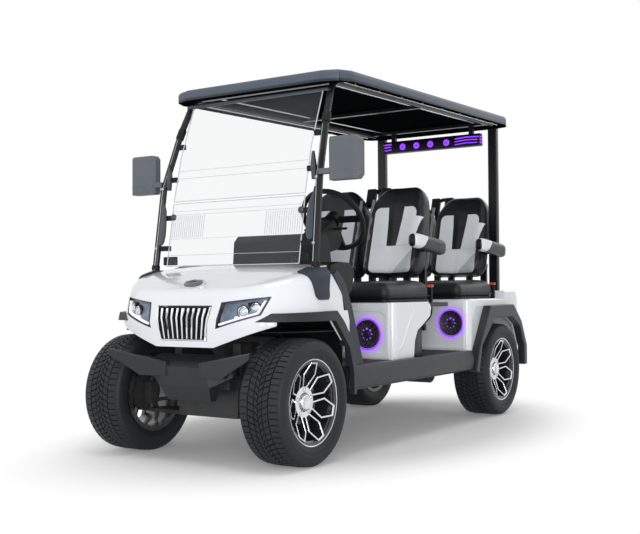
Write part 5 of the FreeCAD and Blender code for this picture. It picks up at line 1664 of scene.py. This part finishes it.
    def lamps(self):
        """The sound bar's round lamps and the bent strips at its ends."""
        face = 1.1915
        rounds, middles = Shape(), Shape()
        for x in (-0.210, -0.103, 0.004, 0.125):
            lamp = ring([(0.002, 0.0002), (0.002, 0.0225), (-0.003, 0.0225), (-0.006, 0.0190), (-0.006, 0.0002)], 28)
            middle = ring([(-0.004, 0.0002), (-0.004, 0.0050), (-0.0072, 0.0042), (-0.0072, 0.0002)], 20)
            rounds += lamp.turned(90, "Z").moved(x, face, 1.797)
            middles += middle.turned(90, "Z").moved(x + 0.002, face, 1.795)
        make("bar_lamps", rounds, "glow", slot="lamp_lens")
        make("bar_lamp_centres", middles, "violet", slot="lamp_lens")
        strips = Shape()
        for n in range(3):
            height = 1.780 + n * 0.0195
            front = 1.1925 + abs(n - 1) * 0.0025
            line = [(0.188, front, height - 0.003), (0.268, front, height + 0.003), (0.352, front + 0.001, height),
                    (0.3655, front + 0.010, height), (0.3665, front + 0.022, height), (0.3665, 1.242, height - 0.001)]
            strips += tube(line, 0.0046, 8)
            other = [(-x, y, z) for x, y, z in reversed(line[2:])]
            strips += tube(other + [(-0.300, front, height + 0.002)], 0.0046, 8)
        make("bar_strips", strips, "glow", slot="lamp_lens", angle=60)


def under_roof(y):
    """Height of the roof's lower face, which rises to the rear."""
    return ROOF_LOW + (y - ROOF_FRONT) * math.tan(ROOF_PITCH)


POST = [Vector((0.500, -1.015, 0.880)), Vector((0.489, -0.957, 1.332)), Vector((0.462, -0.850, 1.640)),
        Vector((0.448, -0.795, 1.744))]


def post_at(height):
    """Centre of the left windscreen post at a height."""
    low, high = [(a, b) for a, b in zip(POST, POST[1:]) if height <= b.z or b is POST[-1]][0]
    return low + (high - low) * ((height - low.z) / (high.z - low.z))


class CART_OT_fittings(bpy.types.Operator):
    """Seat frames, belts, dashboard, steering and pedals"""
    bl_idname = "cart.fittings"
    bl_label = "Fittings"

    def execute(self, context):
        dress("seat_frames", "tube", slot="frame_black", bevel=0.002, angle=50)
        dress("belt_towers", "black", slot="black_plastic", bevel=0.006, segments=3)
        dress("seat_belts", "black", slot="webbing", bevel=0.005, segments=3)
        buttons = Shape()
        for row, top in ((0, 0.819), (ROW_STEP, 0.8353)):
            buttons += block((0.4665, 0.2030 + row, top - 0.008), (0.4985, 0.2235 + row, top + 0.007))
        # the buttons' red finish carries a faint painted glow
        make("buckle_buttons", buttons.both(), "button", slot="webbing", bevel=0.002)
        strap = prism(oblong(0.034, 0.040, 0.052, 0.470), "y", -0.0045, 0.004)
        # the rear straps hang a little before their backrests, at this part of the step between the rows
        rear = 0.905
        straps = total([Shape([back_place(row) @ p for p in strap.points], strap.faces) for row in (0, rear)])
        make("belt_straps", straps.both(), "webbing", slot="webbing", bevel=0.0015)
        dress("armrest_brackets", "black", slot="black_plastic", bevel=0.004)
        dress("dashboard", "black", slot="black_plastic", bevel=0.006, segments=3)
        dress("steering_column", "black", slot="black_plastic", bevel=0.002, angle=45)
        dress("steering_wheel", "black", body="steering_wheel_body", slot="black_plastic", bevel=0.003, angle=60)
        dress("pedals", "black", slot="black_plastic", bevel=0.003)
        return {"FINISHED"}


class CART_OT_chassis(bpy.types.Operator):
    """Chassis, axles, knuckles and dampers"""
    bl_idname = "cart.chassis"
    bl_label = "Chassis"

    def execute(self, context):
        for node, bevel in (("chassis_frame", 0.002), ("front_suspension", 0.002), ("dampers", 0.001)):
            dress(node, "chassis", slot="chassis_black", bevel=bevel)
        dress("rear_axle", "casting", slot="running_gear", bevel=0.002)
        for side in ("left", "right"):
            dress("knuckle_" + side, "casting", body=side + "_knuckle", slot="running_gear", bevel=0.002)
        return {"FINISHED"}


def seen_rays(tree):
    """1 on rays that see or mirror a thing, 0 on those that only carry its light."""
    path = tree.nodes.new("ShaderNodeLightPath").outputs
    camera, glossy, through = (Sock(tree, path[f"Is {kind} Ray"]) for kind in ("Camera", "Glossy", "Transmission"))
    return camera.either(glossy).either(through)


# the photograph's camera: its turns, place, and focal length in pixels of the picture's width
YAW, PITCH, ROLL = 0.5751, 0.0252, -0.0057
CAMERA_SPOT = (3.0013, -4.8327, 0.7895)
FOCAL_PIXELS, PICTURE_WIDTH = 977.67, 640


class CART_OT_stage(bpy.types.Operator):
    """Pale floor, soft lamps, white surround and the camera"""
    bl_idname = "cart.stage"
    bl_label = "Stage"

    def execute(self, context):
        scene = context.scene
        mesh = bpy.data.meshes.new("floor")
        reach = 60
        mesh.from_pydata([(x, y, 0) for x, y in oblong(-reach, -reach, reach, reach)], [], [(0, 1, 2, 3)])
        floor = bpy.data.objects.new("floor", mesh)
        scene.collection.objects.link(floor)
        pale = Finish("floor_paper")
        pale.set(Base_Color=pale.blend((0.95, 0.95, 0.95), (0.97, 0.97, 0.97), pale.grain(2)),
                 Roughness=0.88 + pale.grain(3) * 0.05)
        pale.fixed(Specular_IOR_Level=0.0)
        # far from the cart the paper is as white as the surround
        x, y, _ = pale.axes()
        white = pale.node("ShaderNodeEmission", None, {"Color": (1, 1, 1), "Strength": 1.0})
        # only what is seen or mirrored has it at full strength, so that it doesn't light the cart from below
        away = (apart(x * 1.5, y * 0.9).over(1.60, 0.42) * 0.88 + 0.12) * (seen_rays(pale.tree) * 0.65 + 0.35)
        both_sides = pale.node("ShaderNodeMixShader", None, {0: away})
        out = pale.tree.nodes["Material Output"]
        pale.tree.links.new(pale.shader.outputs[0], both_sides.socket.node.inputs[1])
        pale.tree.links.new(white.socket, both_sides.socket.node.inputs[2])
        pale.tree.links.new(both_sides.socket, out.inputs["Surface"])
        mesh.materials.append(pale.material)
        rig.stage(floor)

        world = bpy.data.worlds.new("surround")
        scene.world = world
        world.use_nodes = True
        tree = world.node_tree
        light = tree.nodes["Background"]
        light.inputs["Color"].default_value = (1, 1, 1, 1)
        light.inputs["Strength"].default_value = 0.36
        seen = tree.nodes.new("ShaderNodeBackground")
        seen.inputs["Color"].default_value = (1, 1, 1, 1)
        mixed = tree.nodes.new("ShaderNodeMixShader")
        tree.links.new(seen_rays(tree).socket, mixed.inputs[0])
        tree.links.new(light.outputs[0], mixed.inputs[1])
        tree.links.new(seen.outputs[0], mixed.inputs[2])
        tree.links.new(mixed.outputs[0], tree.nodes["World Output"].inputs["Surface"])

        for name, spot, aim, size, power in (
            ("key", (1.0, -1.8, 6.0), (0, -0.4, 0.0), 2.4, 74),
            ("front", (6.2, -9.5, 2.0), (0, 0.2, 0.7), 4.0, 530),
            ("fill", (-4.4, -3.0, 2.8), (0, -0.2, 0.7), 4.0, 22),
            ("back", (1.5, 5.5, 4.0), (0, 0.2, 0.9), 4.0, 50),
        ):
            lamp = bpy.data.lights.new(name, "AREA")
            lamp.size = size
            lamp.energy = power
            holder = bpy.data.objects.new(name, lamp)
            holder.location = spot
            holder.rotation_euler = (Vector(aim) - Vector(spot)).to_track_quat("-Z", "Y").to_euler()
            scene.collection.objects.link(holder)

        ahead = Vector((-math.sin(YAW) * math.cos(PITCH), math.cos(YAW) * math.cos(PITCH), math.sin(PITCH)))
        right = ahead.cross(Vector((0, 0, 1))).normalized()
        up = right.cross(ahead)
        side = right * math.cos(ROLL) + up * math.sin(ROLL)
        top = up * math.cos(ROLL) - right * math.sin(ROLL)
        lens = bpy.data.cameras.new("camera")
        lens.sensor_width = 36
        lens.lens = FOCAL_PIXELS / PICTURE_WIDTH * lens.sensor_width
        camera = bpy.data.objects.new("camera", lens)
        turn = Matrix((side, top, -ahead)).transposed().to_4x4()
        camera.matrix_world = Matrix.Translation(CAMERA_SPOT) @ turn
        scene.collection.objects.link(camera)
        scene.camera = camera
        scene.view_settings.view_transform = "Standard"
        return {"FINISHED"}


STEPS = ("tyres", "rims", "cowl", "lamps", "grille", "cushions", "backs", "armrests", "body", "speakers", "canopy",
         "fittings", "chassis", "stage")


class CART_PT_panel(bpy.types.Panel):
    """Lists the cart's pieces, sizes and colours"""
    bl_idname = "CART_PT_panel"
    bl_label = "Golf cart"
    bl_space_type = "VIEW_3D"
    bl_region_type = "UI"
    bl_category = "Golf Cart"

    def draw(self, context):
        for step in STEPS:
            self.layout.operator("cart." + step)
        for group in (context.scene.cart_sizes, context.scene.cart_colours):
            for name in group.__annotations__:
                self.layout.prop(group, name)


CLASSES = (CartSizes, CartColours, CART_OT_tyres, CART_OT_rims, CART_OT_cowl, CART_OT_lamps, CART_OT_grille,
           CART_OT_cushions, CART_OT_backs, CART_OT_armrests, CART_OT_body, CART_OT_speakers, CART_OT_canopy,
           CART_OT_fittings, CART_OT_chassis, CART_OT_stage, CART_PT_panel)


def register():
    for each in CLASSES:
        bpy.utils.register_class(each)
    bpy.types.Scene.cart_sizes = bpy.props.PointerProperty(type=CartSizes)
    bpy.types.Scene.cart_colours = bpy.props.PointerProperty(type=CartColours)


def unregister():
    del bpy.types.Scene.cart_sizes
    del bpy.types.Scene.cart_colours
    for each in reversed(CLASSES):
        bpy.utils.unregister_class(each)


def plain(bounds):
    """Bounds as lists of rounded numbers."""
    return [[round(float(c), 5) for c in corner] for corner in bounds]


def main():
    register()
    for step in STEPS:
        if getattr(bpy.ops.cart, step)() != {"FINISHED"}:
            raise RuntimeError(f"{step} did not finish")
    with open("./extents.json", "w") as file:
        json.dump({"cad": plain(CAD_BOX), "visual": plain(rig.bounds())}, file)


if __name__ == "__main__":
    main()
